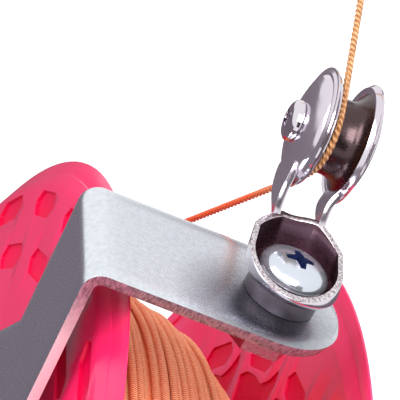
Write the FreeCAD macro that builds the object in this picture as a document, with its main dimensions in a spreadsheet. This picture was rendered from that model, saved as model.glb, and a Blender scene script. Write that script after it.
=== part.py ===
import FreeCAD, Part
import math
import os
import re
import Sketcher

# Hand-held kite line winder: a two-flange wheel on a bolted axle, with a strip bracket that carries
# a swivelling pulley over the winding. X runs along the axle from the grip to the crank knob,
# Z up to the guide arm. The origin is on the axle's axis, at the front end of the grip.

V = FreeCAD.Vector
doc = FreeCAD.newDocument("kite_line_winder")
sheet = doc.addObject("Spreadsheet::Sheet", "size")

# Driving sizes in millimetres, and counts
DRIVING = {
    "strip_width": 25, "strip_thick": 1.8, "arm_height": 117, "arm_overhang": 10, "arm_corner": 11,
    "bend_radius": 1.5, "leg_lean": 1.1, "lean_drop": 27, "plate_radius": 26,
    "guard_depth": 5.8, "guard_radius": 24, "grip_length": 105, "grip_radius": 15.5,
    "core_radius": 12.5, "cap_length": 12, "cap_radius": 15.3, "cap_rounding": 3, "cap_wall": 3,
    "pin_radius": 2, "pin_circle": 17, "pin_depth": 3,
    "axle_radius": 5, "head_height": 6.4, "wrench_flats": 16, "nut_height": 8, "axle_washer": 1.8,
    "washer_radius": 9, "bolt_tip": 2, "axle_clearance": 0.1,
    "spool_gap": 3.2, "flange_radius": 112, "flange_depth": 3.4, "winding_width": 39.7,
    "cover_thick": 0.9, "wall_thick": 1.1, "shoulder_drop": 5.8, "crest_width": 1,
    "crest_rounding": 1.5, "lip_rounding": 0.4, "seat_width": 3.4, "seat_clearance": 0.05,
    "drum_radius": 60, "drum_wall": 3, "hub_radius": 18, "rib_thick": 2.2, "rib_count": 18,
    "ring_radius": 37, "web_thick": 2.2, "boss_radius": 4.5, "boss_circle": 48, "screw_count": 6,
    "screw_radius": 1.5, "screw_head": 3.2, "screw_head_height": 1.4, "screw_length": 10,
    "bearing_radius": 13, "bearing_width": 8, "race_wall": 1.6, "ball_radius": 2.35,
    "ball_circle": 9, "ball_count": 8, "dust_hole": 10, "race_shoulder": 1.5,
    "slot_length": 14, "slot_flat": 9.4, "slot_height": 4.4, "cover_slots": 28,
    "outer_inset": 9.1, "inner_inset": 18.4, "cover_turn": 30.2, "wall_slots": 24,
    "wall_inset": 19.7, "wall_turn": 13.6, "leaf_inset": 25, "leaf_length": 21, "leaf_width": 8.4,
    "leaf_slant": 9, "hub_cap_radius": 17, "hub_cap_height": 13, "hub_cap_wall": 1.6,
    "hub_cap_rounding": 5,
    "line_diameter": 1.1, "turn_count": 16, "turn_pitch": 2.17, "crown_radius": 94,
    "crown_place": 11.8, "crown_drop": 15, "core_gap": 0.08, "end_bend": 1.4, "turn_start": 3,
    "lead_angle": 220.8, "tail_angle": 113.2, "groove_play": 0.1,
    "knob_inset": 32, "knob_boss": 9, "knob_boss_height": 4.7, "spindle_radius": 4.5,
    "spindle_thread": 3, "spindle_head": 7, "spindle_head_height": 2.4, "knob_length": 40,
    "knob_radius": 12, "knob_waist": 10, "knob_flare": 13, "run_clearance": 0.06, "knob_gap": 0.4,
    "knob_lid": 2, "swivel_offset": 2, "spacer_radius": 5.8, "spacer_height": 3,
    "swivel_radius": 3, "swivel_head": 5.5, "head_rim": 1, "head_dome": 2.1, "swivel_play": 0.1,
    "swivel_washer": 1, "swivel_washer_radius": 6, "swivel_flats": 10, "swivel_nut": 5,
    "recess_arm": 1.1, "recess_reach": 2.6, "recess_depth": 2,
    "fork_sheet": 1.1, "cup_radius": 7.8, "cup_height": 8, "rim_height": 6.4, "rim_slope": 16.8,
    "leg_side": 4.5, "leg_foot_back": 6, "leg_foot_rise": 7, "leg_foot_half": 2.2,
    "leg_head_half": 3.6, "pulley_back": 16.2, "pulley_rise": 20.2, "cheek_radius": 8.9,
    "cheek_flat": 6.2, "cheek_rim": 4, "cheek_depth": 2.1, "pulley_radius": 8.2,
    "pulley_half": 3.6, "groove_radius": 6, "groove_half": 1.6, "groove_mouth": 3,
    "hub_boss_half": 4.8, "hub_boss_radius": 3.6, "bush_radius": 2.6, "pulley_pin": 1.6,
    "pin_head": 3.3, "pin_head_height": 1.6, "pin_nut_flats": 5.5, "pin_nut": 2.4,
    "tail_knot": 1.5, "knot_length": 4, "loop_radius": 3.2, "loop_length": 9,
}

# Stations along the axle and other places, each worked out from the driving sizes
PLACES = {
    "plate_in": "guard_depth + strip_thick",
    "leg_top": "guard_depth - leg_lean",
    "rear_out": "guard_depth + strip_thick + spool_gap",
    "rear_lip": "rear_out + flange_depth",
    "front_lip": "rear_lip + winding_width",
    "front_out": "front_lip + flange_depth",
    "rear_race": "rear_lip - wall_thick",
    "race_end": "front_lip + wall_thick",
    "front_race": "race_end - bearing_width",
    "front_web": "race_end + cover_thick",
    "crest_radius": "flange_radius - shoulder_drop",
    "outer_ring": "flange_radius - outer_inset",
    "inner_ring": "flange_radius - inner_inset",
    "wall_ring": "flange_radius - wall_inset",
    "leaf_tip": "flange_radius - leaf_inset",
    "leaf_root": "leaf_tip - leaf_length",
    "knob_circle": "flange_radius - knob_inset",
    "nut_start": "front_out",
    "axle_tip": "front_out + nut_height + bolt_tip",
    "handle_end": "0 - grip_length",
    "washer_start": "handle_end - axle_washer",
    "swivel_x": "rear_lip + winding_width / 2 + swivel_offset",
    "arm_end": "swivel_x + arm_overhang",
    "fork_base": "arm_height + spacer_height + swivel_play",
    "head_base": "fork_base + fork_sheet + swivel_play",
    "pulley_z": "arm_height + pulley_rise",
    "cheek_out": "cheek_rim + cheek_depth",
    "cheek_in": "cheek_rim + cheek_depth - fork_sheet",
    "boss_face": "front_out + knob_boss_height",
    "knob_start": "boss_face + knob_gap",
    "knob_seat": "knob_start + knob_length",
    "line_radius": "line_diameter / 2",
}
TURNED = {"X": FreeCAD.Rotation(V(0, 1, 0), 90), "Z": FreeCAD.Rotation()}

# Where the free line leaves the winding, and where its knot starts
LINE_START = V(20, 72.25, 62.2)
LINE_END = V(36.05, 41.15, 155.13)

nodes = []


def sheet_form(text):
    """A size formula with every name replaced by its place in the sheet."""
    def swap(found):
        word = found.group()
        if word in DRIVING:
            return "size." + word
        return "(" + sheet_form(PLACES[word]) + ")" if word in PLACES else word
    return re.sub(r"[a-z_]+", swap, str(text))


def value(text):
    """The number that a size formula gives."""
    return float(sheet.evalExpression(sheet_form(text)))


def bind(item, prop, text):
    """Ties one property of an object to a size formula."""
    item.setExpression(prop, sheet_form(text))


def keep(item, name):
    """Names an object as a sub-part of the winder."""
    item.Label = name
    nodes.append(item)
    return item


def fill_sheet():
    """Writes the driving sizes to the sheet, each under its own name."""
    for row, (name, number) in enumerate(DRIVING.items(), 1):
        sheet.set(f"A{row}", name)
        sheet.set(f"B{row}", str(number))
        sheet.setAlias(f"B{row}", name)
    doc.recompute()


def new_body(name, at=("0", "0", "0")):
    """An empty body whose own origin lies at the given place."""
    body = doc.addObject("PartDesign::Body", "body_" + name)
    for prop, text in zip("xyz", at):
        bind(body, "Placement.Base." + prop, text)
    return body


def origin_plane(body, role):
    return next(item for item in body.Origin.OriginFeatures if item.Role == role)


def new_sketch(body, plane):
    sketch = body.newObject("Sketcher::SketchObject", body.Name + "_sketch")
    sketch.AttachmentSupport = [(origin_plane(body, plane), "")]
    sketch.MapMode = "FlatFace"
    return sketch


def pin_point(sketch, edge, end, point):
    """Ties one end of a sketch edge to two size formulas."""
    for kind, text in zip(("DistanceX", "DistanceY"), point):
        number = sketch.addConstraint(Sketcher.Constraint(kind, edge, end, value(text)))
        sketch.setExpression(f"Constraints[{number}]", sheet_form(text))


def outline(body, plane, points):
    """A closed sketch of straight edges through points given as size formulas."""
    sketch = new_sketch(body, plane)
    spots = [V(value(a), value(b), 0) for a, b in points]
    count = len(points)
    for i in range(count):
        sketch.addGeometry(Part.LineSegment(spots[i], spots[(i + 1) % count]), False)
    for i in range(count):
        sketch.addConstraint(Sketcher.Constraint("Coincident", i, 2, (i + 1) % count, 1))
    for i, point in enumerate(points):
        pin_point(sketch, i, 1, point)
    return sketch


def circle(body, plane, centre, radius):
    """A sketch of one circle whose centre and radius are size formulas."""
    sketch = new_sketch(body, plane)
    spot = V(value(centre[0]), value(centre[1]), 0)
    sketch.addGeometry(Part.Circle(spot, V(0, 0, 1), value(radius)), False)
    pin_point(sketch, 0, 3, centre)
    number = sketch.addConstraint(Sketcher.Constraint("Radius", 0, value(radius)))
    sketch.setExpression(f"Constraints[{number}]", sheet_form(radius))
    return sketch


def revolve(body, points, axis="H_Axis"):
    """Turns an outline in the XZ plane round the body's X or Z axis."""
    feature = body.newObject("PartDesign::Revolution", body.Name + "_turned")
    feature.Profile = outline(body, "XZ_Plane", points)
    feature.ReferenceAxis = (feature.Profile[0], [axis])
    feature.Angle = 360
    doc.recompute()
    return feature


def pocket(body, sketch):
    """Cuts a sketch right through the body, both ways."""
    before = body.Shape.Volume
    feature = body.newObject("PartDesign::Pocket", body.Name + "_cut")
    feature.Profile = sketch
    feature.Type = "ThroughAll"
    feature.SideType = "Symmetric"
    doc.recompute()
    if body.Shape.Volume > before - 1e-6:
        raise ValueError(f"{feature.Label} cuts nothing")
    return feature


def round_about(body, features, count):
    """Repeats features round the body's X axis."""
    pattern = body.newObject("PartDesign::PolarPattern", body.Name + "_round")
    pattern.Originals = features
    pattern.Axis = (features[0].Profile[0], ["N_Axis"])
    pattern.Angle = 360
    bind(pattern, "Occurrences", count)
    body.Tip = pattern
    doc.recompute()
    return pattern


def ring_edges(feature, marks):
    """Names of the round edges about X at the given stations and radii."""
    found = []
    for number, edge in enumerate(feature.Shape.Edges, 1):
        if not isinstance(edge.Curve, Part.Circle):
            continue
        for place, radius in marks:
            beside = abs(edge.Curve.Center.x - value(place)) < 1e-3
            if beside and abs(edge.Curve.Radius - value(radius)) < 1e-3:
                found.append(f"Edge{number}")
    return found


def straight_edges(feature, axis, marks):
    """Names of the straight edges along one axis that pass through the given marks."""
    sides = [i for i in range(3) if i != axis]
    found = []
    for number, edge in enumerate(feature.Shape.Edges, 1):
        if not isinstance(edge.Curve, Part.Line):
            continue
        ends = [vertex.Point for vertex in edge.Vertexes]
        for mark in marks:
            spot = [value(text) for text in mark]
            if all(abs(end[sides[i]] - spot[i]) < 1e-3 for end in ends for i in range(2)):
                found.append(f"Edge{number}")
    return found


def soften(body, feature, edges, radius):
    """Rounds named edges of the body's last feature."""
    fillet = body.newObject("PartDesign::Fillet", body.Name + "_rounded")
    fillet.Base = (feature, edges)
    bind(fillet, "Radius", radius)
    doc.recompute()
    return fillet


def ring(name, start, end, outer, inner="0"):
    """A turned piece about the axle from one station to another."""
    body = new_body(name)
    revolve(body, [(start, inner), (end, inner), (end, outer), (start, outer)])
    return keep(body, name)


def primitive(kind, label, axis, base, sizes):
    """A Part primitive along X or Z whose place and sizes are formulas."""
    item = doc.addObject("Part::" + kind, label)
    item.Placement = FreeCAD.Placement(V(), TURNED[axis])
    for prop, text in zip("xyz", base):
        bind(item, "Placement.Base." + prop, text)
    for prop, text in sizes.items():
        bind(item, prop, text)
    return item


def joined(label, items):
    fusion = doc.addObject("Part::MultiFuse", label)
    fusion.Shapes = items
    return fusion


def cut(label, base, tool):
    result = doc.addObject("Part::Cut", label)
    result.Base, result.Tool = base, tool
    return result


def hex_nut(name, axis, base, flats, height, bore):
    """A six-sided nut bored for its thread."""
    blank = primitive("Prism", name + "_hex", axis, base,
                      {"Circumradius": f"{flats} / sqrt(3)", "Height": height})
    blank.Polygon = 6
    hole = primitive("Cylinder", name + "_bore", axis, base, {"Radius": bore, "Height": height})
    return keep(cut("cut_" + name, blank, hole), name)


def cross_recess(label, base, axis, down):
    """Two crossed bars that sink a driver's recess into a screw head."""
    bars = []
    for long_way in (0, 1):
        bar = doc.addObject("Part::Box", f"{label}_bar_{long_way}")
        across = ["recess_reach * 2", "recess_arm"][::1 if long_way else -1]
        spans = across + ["recess_depth"]
        if axis == "X":
            spans = ["recess_depth"] + across
        for prop, span in zip(("Length", "Width", "Height"), spans):
            bind(bar, prop, span)
        for i, prop in enumerate("xyz"):
            deep = (axis == "X" and i == 0) or (axis == "Z" and i == 2)
            shift = (" - recess_depth" if down else "") if deep else f" - ({spans[i]}) / 2"
            bind(bar, "Placement.Base." + prop, base[i] + shift)
        bars.append(bar)
    return joined(label + "_cross", bars)


# Bracket

def guide_bracket():
    """A strip bent over the spool, widened to a round plate at the axle."""
    body = new_body("bracket")
    pad = body.newObject("PartDesign::Pad", "bracket_pad")
    pad.Profile = outline(body, "XZ_Plane", [
        ("arm_end", "arm_height"), ("leg_top", "arm_height"),
        ("guard_depth", "arm_height - lean_drop"), ("guard_depth", "0 - plate_radius"),
        ("plate_in", "0 - plate_radius"), ("plate_in", "arm_height - lean_drop"),
        ("leg_top + strip_thick", "arm_height - strip_thick"),
        ("arm_end", "arm_height - strip_thick")])
    pad.SideType = "Symmetric"
    bind(pad, "Length", "2 * plate_radius")
    doc.recompute()
    half, spread = "strip_width / 2", "plate_radius - strip_width / 2"
    top = "arm_height - lean_drop"
    for side in ("", "0 - "):
        wide, narrow, past = f"{side}(plate_radius)", f"{side}({half})", f"{side}(plate_radius + 1)"
        sketch = outline(body, "YZ_Plane", [
            (narrow, "arm_height + 1"), (narrow, top), (wide, f"{top} - ({spread})"),
            (past, f"{top} - ({spread})"), (past, "arm_height + 1")])
        last = pocket(body, sketch)
    last = soften(body, last, straight_edges(last, 1, [("leg_top", "arm_height")]),
                  "bend_radius + strip_thick")
    last = soften(body, last, straight_edges(
        last, 1, [("leg_top + strip_thick", "arm_height - strip_thick")]), "bend_radius")
    last = soften(body, last, straight_edges(
        last, 2, [("arm_end", half), ("arm_end", f"0 - {half}")]), "arm_corner")
    last = soften(body, last, straight_edges(
        last, 0, [("plate_radius", "0 - plate_radius"), ("0 - plate_radius", "0 - plate_radius")]),
        "plate_radius - 1")
    pocket(body, circle(body, "YZ_Plane", ("0", "0"), "axle_radius + axle_clearance"))
    for side in ("pin_circle", "0 - pin_circle"):
        pocket(body, circle(body, "YZ_Plane", (side, "0"), "pin_radius"))
    pocket(body, circle(body, "XY_Plane", ("swivel_x", "0"), "swivel_radius"))
    keep(body, "guide_bracket")


def locating_pins():
    """Two dowels that key the bracket to the handle's guard."""
    pins = [primitive("Cylinder", f"dowel_{i}", "X", ("guard_depth - pin_depth", side, "0"),
                      {"Radius": "pin_radius", "Height": "pin_depth + strip_thick"})
            for i, side in enumerate(("pin_circle", "0 - pin_circle"))]
    keep(joined("dowels", pins), "locating_pins")


# Handle

def handle():
    """Core with flared guard, foam grip and end cap."""
    body = new_body("core")
    bore = "axle_radius + axle_clearance"
    revolve(body, [("handle_end", bore), ("guard_depth", bore), ("guard_depth", "guard_radius"),
                   ("guard_depth / 2", "guard_radius"), ("0", "grip_radius"), ("0", "core_radius"),
                   ("handle_end", "core_radius")])
    for side in ("pin_circle", "0 - pin_circle"):
        drill = body.newObject("PartDesign::Pocket", "core_drill")
        drill.Profile = circle(body, "YZ_Plane", (side, "0"), "pin_radius")
        drill.Type = "ThroughAll"
        drill.Reversed = True
        doc.recompute()
    keep(body, "handle_core")
    ring("grip_sleeve", "handle_end", "0", "grip_radius", "core_radius")
    lid = new_body("lid")
    back = "handle_end - cap_length"
    turned = revolve(lid, [(back, "0"), (f"{back} + cap_wall", "0"),
                           (f"{back} + cap_wall", "cap_radius - cap_wall"),
                           ("handle_end", "cap_radius - cap_wall"), ("handle_end", "cap_radius"),
                           (back, "cap_radius")])
    soften(lid, turned, ring_edges(turned, [(back, "cap_radius")]), "cap_rounding")
    keep(lid, "handle_end_cap")


# Axle and bearings

def axle():
    """Bolt, washers, nut and the spacers that clamp the inner rings."""
    shank = new_body("axle")
    revolve(shank, [("washer_start", "0"), ("axle_tip", "0"), ("axle_tip", "axle_radius"),
                    ("washer_start", "axle_radius")])
    head = primitive("Prism", "axle_head", "X", ("washer_start - head_height", "0", "0"),
                     {"Circumradius": "wrench_flats / sqrt(3)", "Height": "head_height"})
    head.Polygon = 6
    keep(joined("bolt", [shank, head]), "axle_bolt")
    ring("handle_washer", "washer_start", "handle_end", "washer_radius", "axle_radius")
    ring("bracket_spacer", "plate_in", "rear_race", "axle_radius + race_wall", "axle_radius")
    ring("bearing_sleeve", "rear_race + bearing_width", "front_race", "axle_radius + race_wall",
         "axle_radius")
    ring("front_washer", "race_end", "front_out", "axle_radius + race_wall", "axle_radius")
    hex_nut("axle_nut", "X", ("nut_start", "0", "0"), "wrench_flats", "nut_height", "axle_radius")


def ball_bearings():
    """Two ball bearings, each an inner ring, an outer ring and its balls."""
    for name, start in (("rear", "rear_race"), ("front", "front_race")):
        end = f"{start} + bearing_width"
        ring(f"{name}_bearing_inner_ring", start, end, "axle_radius + race_wall", "axle_radius")
        ring(f"{name}_bearing_outer_ring", start, end, "bearing_radius", "bearing_radius - race_wall")
        middle, circle_radius = value(f"{start} + bearing_width / 2"), value("ball_circle")
        count = round(value("ball_count"))
        balls = [Part.makeSphere(value("ball_radius"), V(middle, circle_radius * math.cos(turn),
                                                         circle_radius * math.sin(turn)))
                 for turn in (2 * math.pi * i / count for i in range(count))]
        feature = doc.addObject("Part::Feature", f"{name}_balls")
        feature.Shape = Part.makeCompound(balls)
        keep(feature, f"{name}_bearing_balls")


# Spool

def drum():
    """Moulded drum: rim, bearing hub, ribs, a middle ring and screw bosses."""
    body = new_body("rim")
    revolve(body, [("rear_lip", "drum_radius - drum_wall"), ("front_lip", "drum_radius - drum_wall"),
                   ("front_lip", "drum_radius"), ("rear_lip", "drum_radius")])
    hub = new_body("hub")
    deep, step = "bearing_radius", "bearing_radius - race_shoulder"
    revolve(hub, [("rear_race", deep), ("rear_race + bearing_width", deep),
                  ("rear_race + bearing_width", step), ("front_race", step), ("front_race", deep),
                  ("race_end", deep), ("race_end", "hub_radius"), ("rear_race", "hub_radius")])
    middle = new_body("mid_ring")
    revolve(middle, [("rear_lip", "ring_radius - web_thick"), ("front_lip", "ring_radius - web_thick"),
                     ("front_lip", "ring_radius"), ("rear_lip", "ring_radius")])
    start, width = value("rear_lip"), value("winding_width")
    inner, outer, thick = value("hub_radius") - 1, value("drum_radius") - 1, value("rib_thick")
    count, screws = round(value("rib_count")), round(value("screw_count"))
    ribs = []
    for i in range(count):
        rib = Part.makeBox(width, thick, outer - inner, V(start, -thick / 2, inner))
        rib.rotate(V(), V(1, 0, 0), 360 * i / count)
        ribs.append(rib)
    for i in range(screws):
        boss = Part.makeCylinder(value("boss_radius"), width, V(start, 0, value("boss_circle")), V(1, 0, 0))
        boss.rotate(V(), V(1, 0, 0), 360 * i / screws)
        ribs.append(boss)
    web = doc.addObject("Part::Feature", "ribs")
    web.Shape = ribs[0].fuse(ribs[1:])
    holes = doc.addObject("Part::Feature", "boss_holes")
    bore, deep = value("screw_radius"), value("screw_length")
    holes.Shape = Part.makeCompound(screw_copies(bore, start, deep) +
                                    screw_copies(bore, start + width - deep, deep))
    keep(cut("drum_cut", joined("drum_joined", [body, hub, middle, web]), holes), "drum")


def screw_copies(radius, start, length):
    """Cylinders along X on the screw circle."""
    count = round(value("screw_count"))
    copies = []
    for i in range(count):
        stud = Part.makeCylinder(radius, length, V(start, 0, value("boss_circle")), V(1, 0, 0))
        stud.rotate(V(), V(1, 0, 0), 360 * i / count)
        copies.append(stud)
    return copies


def drum_screws():
    """Pan screws that clamp both halves of each flange to the drum's bosses."""
    thick, rise = value("wall_thick + cover_thick"), value("screw_head_height")
    deep = value("screw_length") + thick
    back, front = value("rear_lip") - thick, value("front_lip") + thick
    radius, head = value("screw_radius"), value("screw_head")
    shanks = screw_copies(radius, back, deep) + screw_copies(radius, front - deep, deep)
    heads = screw_copies(head, back - rise, rise) + screw_copies(head, front, rise)
    feature = doc.addObject("Part::Feature", "screws")
    feature.Shape = Part.makeCompound([a.fuse(b).removeSplitter() for a, b in zip(shanks, heads)])
    keep(feature, "drum_screws")


def slot_points(radius):
    """A slot across a radius, pointed at both ends."""
    low, high = f"{radius} - slot_height / 2", f"{radius} + slot_height / 2"
    return [("0 - slot_length / 2", radius), ("0 - slot_flat / 2", low), ("slot_flat / 2", low),
            ("slot_length / 2", radius), ("slot_flat / 2", high), ("0 - slot_flat / 2", high)]


def turned_points(points, angle):
    """The same points turned about the axle by an angle in degrees."""
    across, along = f"cos(({angle}) * 1 deg)", f"sin(({angle}) * 1 deg)"
    return [(f"({a}) * {across} + ({b}) * {along}", f"({b}) * {across} - ({a}) * {along}")
            for a, b in points]


def leaf_points():
    """A pointed leaf whose tip leans the way the wheel turns."""
    middle = "(leaf_root + leaf_tip) / 2"
    lean = "leaf_tip * sin(leaf_slant * 1 deg)"
    return [("0", "leaf_root"), (f"({lean}) * 0.5 + leaf_width / 2", middle), (lean, "leaf_tip"),
            (f"({lean}) * 0.5 - leaf_width / 2", middle)]


def opening(body, points, angle):
    """One cut-out through a flange, turned to its place."""
    return pocket(body, outline(body, "YZ_Plane", turned_points(points, angle)))


def screw_holes(body):
    """Holes for the screws that clamp the flange to the drum's bosses."""
    holes = pocket(body, circle(body, "YZ_Plane", ("0", "boss_circle"), "screw_radius"))
    round_about(body, [holes], "screw_count")


def flange_cover(name, lip, way):
    """A dished outer cover: a raised shoulder round a thin web with two rings of slots."""
    body = new_body(name)
    out, inside = f"{lip} {way} flange_depth", f"{lip} {way} wall_thick"
    web, seat = f"{inside} {way} cover_thick", "flange_radius - seat_width"
    turned = revolve(body, [
        (web, "dust_hole"), (web, "crest_radius - crest_width"), (out, "crest_radius - crest_width"),
        (out, "crest_radius"), (lip, "flange_radius"), (lip, seat), (inside, seat),
        (inside, "dust_hole")])
    last = soften(body, turned, ring_edges(turned, [(out, "crest_radius")]), "crest_rounding")
    soften(body, last, ring_edges(last, [(lip, "flange_radius")]), "lip_rounding")
    first = opening(body, slot_points("outer_ring"), "cover_turn")
    second = opening(body, slot_points("inner_ring"), "cover_turn + 180 / cover_slots")
    round_about(body, [first, second], "cover_slots")
    screw_holes(body)
    return body


def flange_wall(name, lip, way):
    """A flat inner wall with slots and leaves, seated on the hub and the drum's end."""
    body = new_body(name)
    back = f"{lip} {way} wall_thick"
    rim = "flange_radius - seat_width - seat_clearance"
    revolve(body, [(lip, "hub_radius"), (lip, rim), (back, rim), (back, "hub_radius")])
    first = opening(body, slot_points("wall_ring"), "wall_turn")
    round_about(body, [first, opening(body, leaf_points(), "wall_turn")], "wall_slots")
    screw_holes(body)
    return body


def flanges():
    """Both flanges; the front cover also carries the crank knob's boss."""
    keep(flange_wall("rear_wall", "rear_lip", "-"), "rear_flange_wall")
    keep(flange_wall("front_wall", "front_lip", "+"), "front_flange_wall")
    keep(flange_cover("rear_cover", "rear_lip", "-"), "rear_flange_cover")
    plain = flange_cover("front_cover", "front_lip", "+")
    base = ("race_end", "0", "0 - knob_circle")
    boss = primitive("Cylinder", "knob_boss_blank", "X", base,
                     {"Radius": "knob_boss", "Height": "boss_face - race_end"})
    hole = primitive("Cylinder", "knob_boss_hole", "X", base,
                     {"Radius": "spindle_thread", "Height": "boss_face - race_end"})
    keep(cut("front_cover_cut", joined("front_cover_joined", [plain, boss]), hole), "front_flange_cover")


def hub_cap():
    """A thin dome that snaps on the front cover over the axle nut."""
    body = new_body("hub_dome")
    top = "front_out + hub_cap_height"
    inside = "hub_cap_radius - hub_cap_wall"
    turned = revolve(body, [("front_web", inside), (f"{top} - hub_cap_wall", inside),
                            (f"{top} - hub_cap_wall", "0"), (top, "0"), (top, "hub_cap_radius"),
                            ("front_web", "hub_cap_radius")])
    soften(body, turned, ring_edges(turned, [(top, "hub_cap_radius")]), "hub_cap_rounding")
    keep(body, "front_hub_cap")


# Crank knob

def crank_knob():
    """Shoulder screw in the cover's boss, and the knob that turns on it."""
    base = ("0", "0", "0 - knob_circle")
    spindle = new_body("spindle", base)
    head_end = "knob_seat + knob_gap + spindle_head_height"
    revolve(spindle, [("race_end", "0"), (head_end, "0"), (head_end, "spindle_head"),
                      ("knob_seat + knob_gap", "spindle_head"),
                      ("knob_seat + knob_gap", "spindle_radius"), ("boss_face", "spindle_radius"),
                      ("boss_face", "spindle_thread"), ("race_end", "spindle_thread")])
    keep(spindle, "knob_spindle")
    knob = new_body("knob", base)
    bore, well = "spindle_radius + run_clearance", "spindle_head + 1"
    lid_face = f"{head_end} + 1"
    revolve(knob, [("knob_start", bore), ("knob_seat", bore), ("knob_seat", well), (lid_face, well),
                   (lid_face, "knob_radius"), ("knob_seat - knob_length / 4", "knob_flare"),
                   ("knob_start + knob_length / 4", "knob_waist"), ("knob_start", "knob_radius")])
    keep(knob, "knob_grip")
    lid = new_body("knob_top", base)
    revolve(lid, [(lid_face, "0"), (f"{lid_face} + knob_lid", "0"),
                  (f"{lid_face} + knob_lid", "knob_radius - 1"), (lid_face, "knob_radius")])
    keep(lid, "knob_end_cap")


# Wound line

def crown(place):
    """Outer radius of the winding at a station along the axle."""
    top = value("rear_lip + crown_place")
    fall = max(place - top, 0) / (value("front_lip") - top)
    return value("crown_radius") - value("crown_drop") * fall ** 2


def line_core():
    """The inner layers of the winding, as one plain body on the drum."""
    low, high = value("rear_lip"), value("front_lip")
    drop = value("line_diameter + core_gap")
    steps = 12
    tops = [V(low + (high - low) * i / steps, 0, crown(low + (high - low) * i / steps) - drop)
            for i in range(steps + 1)]
    curve = Part.BSplineCurve()
    curve.interpolate(tops)
    base = value("drum_radius")
    corners = [tops[-1], V(high, 0, base), V(low, 0, base), tops[0]]
    edges = [curve.toShape()] + [Part.makeLine(a, b) for a, b in zip(corners, corners[1:])]
    feature = doc.addObject("Part::Feature", "core_body")
    feature.Shape = Part.Face(Part.Wire(edges)).revolve(V(), V(1, 0, 0), 360)
    keep(feature, "line_core")


def turn_point(turn):
    """Centre of the wound line after a number of turns."""
    span = value("turn_pitch") * value("turn_count")
    start = (value("rear_lip") + value("front_lip") - span) / 2
    place = start + value("turn_pitch") * turn
    radius = crown(place) - value("line_radius")
    angle = 2 * math.pi * turn + math.radians(value("turn_start"))
    return V(place, radius * math.sin(angle), radius * math.cos(angle))


def arc_from(start, heading, end):
    """The arc that leaves a point along a heading and ends at another point."""
    chord = end - start
    across = heading.cross(chord).cross(heading)
    across.normalize()
    radius = chord.Length ** 2 / (2 * chord.dot(across))
    centre = start + across * radius
    middle = (start + end) * 0.5 - centre
    middle.normalize()
    return Part.Arc(start, centre + middle * radius, end), radius


def biarc(start, out, end, into):
    """Two tangent arcs from one point and heading to another."""
    gap, both = end - start, out + into
    spread = 2 * (1 - out.dot(into))
    along = gap.dot(both)
    reach = (-along + math.sqrt(along * along + spread * gap.dot(gap))) / spread
    middle = (start + end + (out - into) * reach) * 0.5
    first, first_radius = arc_from(start, out, middle)
    last, last_radius = arc_from(end, into * -1, middle)
    return [first.toShape(), last.toShape()], min(first_radius, last_radius)


def heading_at(turn):
    small = 1e-4
    heading = turn_point(turn + small) - turn_point(turn - small)
    heading.normalize()
    return heading


def line_winding():
    """The outer layer of the winding: one unbroken line, as large turns on biarcs."""
    count = round(value("turn_count"))
    halves = [i / 2 for i in range(2 * count + 1)]
    edges, tightest = [], 1e9
    lead, bend = value("line_diameter"), value("end_bend")
    first, last = turn_point(0), turn_point(count)
    near, far = value("rear_lip"), value("front_lip")
    out_first, out_last = heading_at(0), heading_at(count)
    start_foot = V(near, first.y, first.z) - V(0, out_first.y, out_first.z) * (2 * bend)
    start_knee = start_foot + V(lead, 0, 0)
    end_foot = V(far, last.y, last.z) + V(0, out_last.y, out_last.z) * (2 * bend)
    end_knee = end_foot - V(lead, 0, 0)
    edges.append(Part.makeLine(start_foot, start_knee))
    pieces, radius = biarc(start_knee, V(1, 0, 0), first, out_first)
    edges += pieces
    tightest = min(tightest, radius)
    for a, b in zip(halves, halves[1:]):
        pieces, radius = biarc(turn_point(a), heading_at(a), turn_point(b), heading_at(b))
        edges += pieces
        tightest = min(tightest, radius)
    pieces, radius = biarc(last, out_last, end_knee, V(1, 0, 0))
    edges += pieces
    tightest = min(tightest, radius)
    edges.append(Part.makeLine(end_knee, end_foot))
    path = Part.Wire(edges)
    feature = doc.addObject("Part::Feature", "winding_body")
    feature.Shape = tube(path, value("line_radius"))
    keep(feature, "line_winding")
    gap = least_gap(count)
    print("winding", round(path.Length), "mm long, tightest radius", round(tightest, 2),
          "least gap to itself", round(gap, 3))


def least_gap(count):
    """Least gap between neighbouring turns, measured on points along the winding."""
    steps = 48
    points = [turn_point(i / steps) for i in range(count * steps + 1)]
    return min((points[i] - points[j]).Length for i in range(len(points))
               for j in range(i + steps - 4, min(i + steps + 5, len(points)))) - value("line_diameter")


def tube(path, radius):
    """A round tube swept along a path of lines and tangent arcs."""
    start = path.OrderedEdges[0]
    place = start.valueAt(start.FirstParameter)
    heading = start.tangentAt(start.FirstParameter)
    ring_wire = Part.Wire([Part.makeCircle(radius, place, heading)])
    shape = path.makePipeShell([ring_wire], True, False)
    expected = math.pi * radius ** 2 * path.Length
    if abs(shape.Volume / expected - 1) > 0.01:
        print("tube volume", shape.Volume, "expected", expected)
    return shape


# Free line

def wrap_corners():
    """Corners of the line's path round the pulley, with an arc in each to follow the groove."""
    radius = value("groove_radius + line_radius + groove_play")
    first, last = math.radians(value("lead_angle")), math.radians(value("tail_angle"))
    half = (first - last) / 6
    reach = radius / math.cos(half)
    middle = V(value("swivel_x"), value("pulley_back"), value("pulley_z"))
    angles = [first - half * step for step in (1, 3, 5)]
    return [middle + V(0, reach * math.cos(angle), reach * math.sin(angle)) for angle in angles]


def arc_in_corner(before, point, after, reach):
    """The arc that rounds a corner, meeting both straight runs at the same reach."""
    back, on = before - point, after - point
    back.normalize()
    on.normalize()
    half_turn = (math.pi - back.getAngle(on)) / 2
    radius = reach / math.tan(half_turn)
    inward = back + on
    inward.normalize()
    middle = point + inward * (radius / math.cos(half_turn) - radius)
    return Part.Arc(point + back * reach, middle, point + on * reach)


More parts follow.
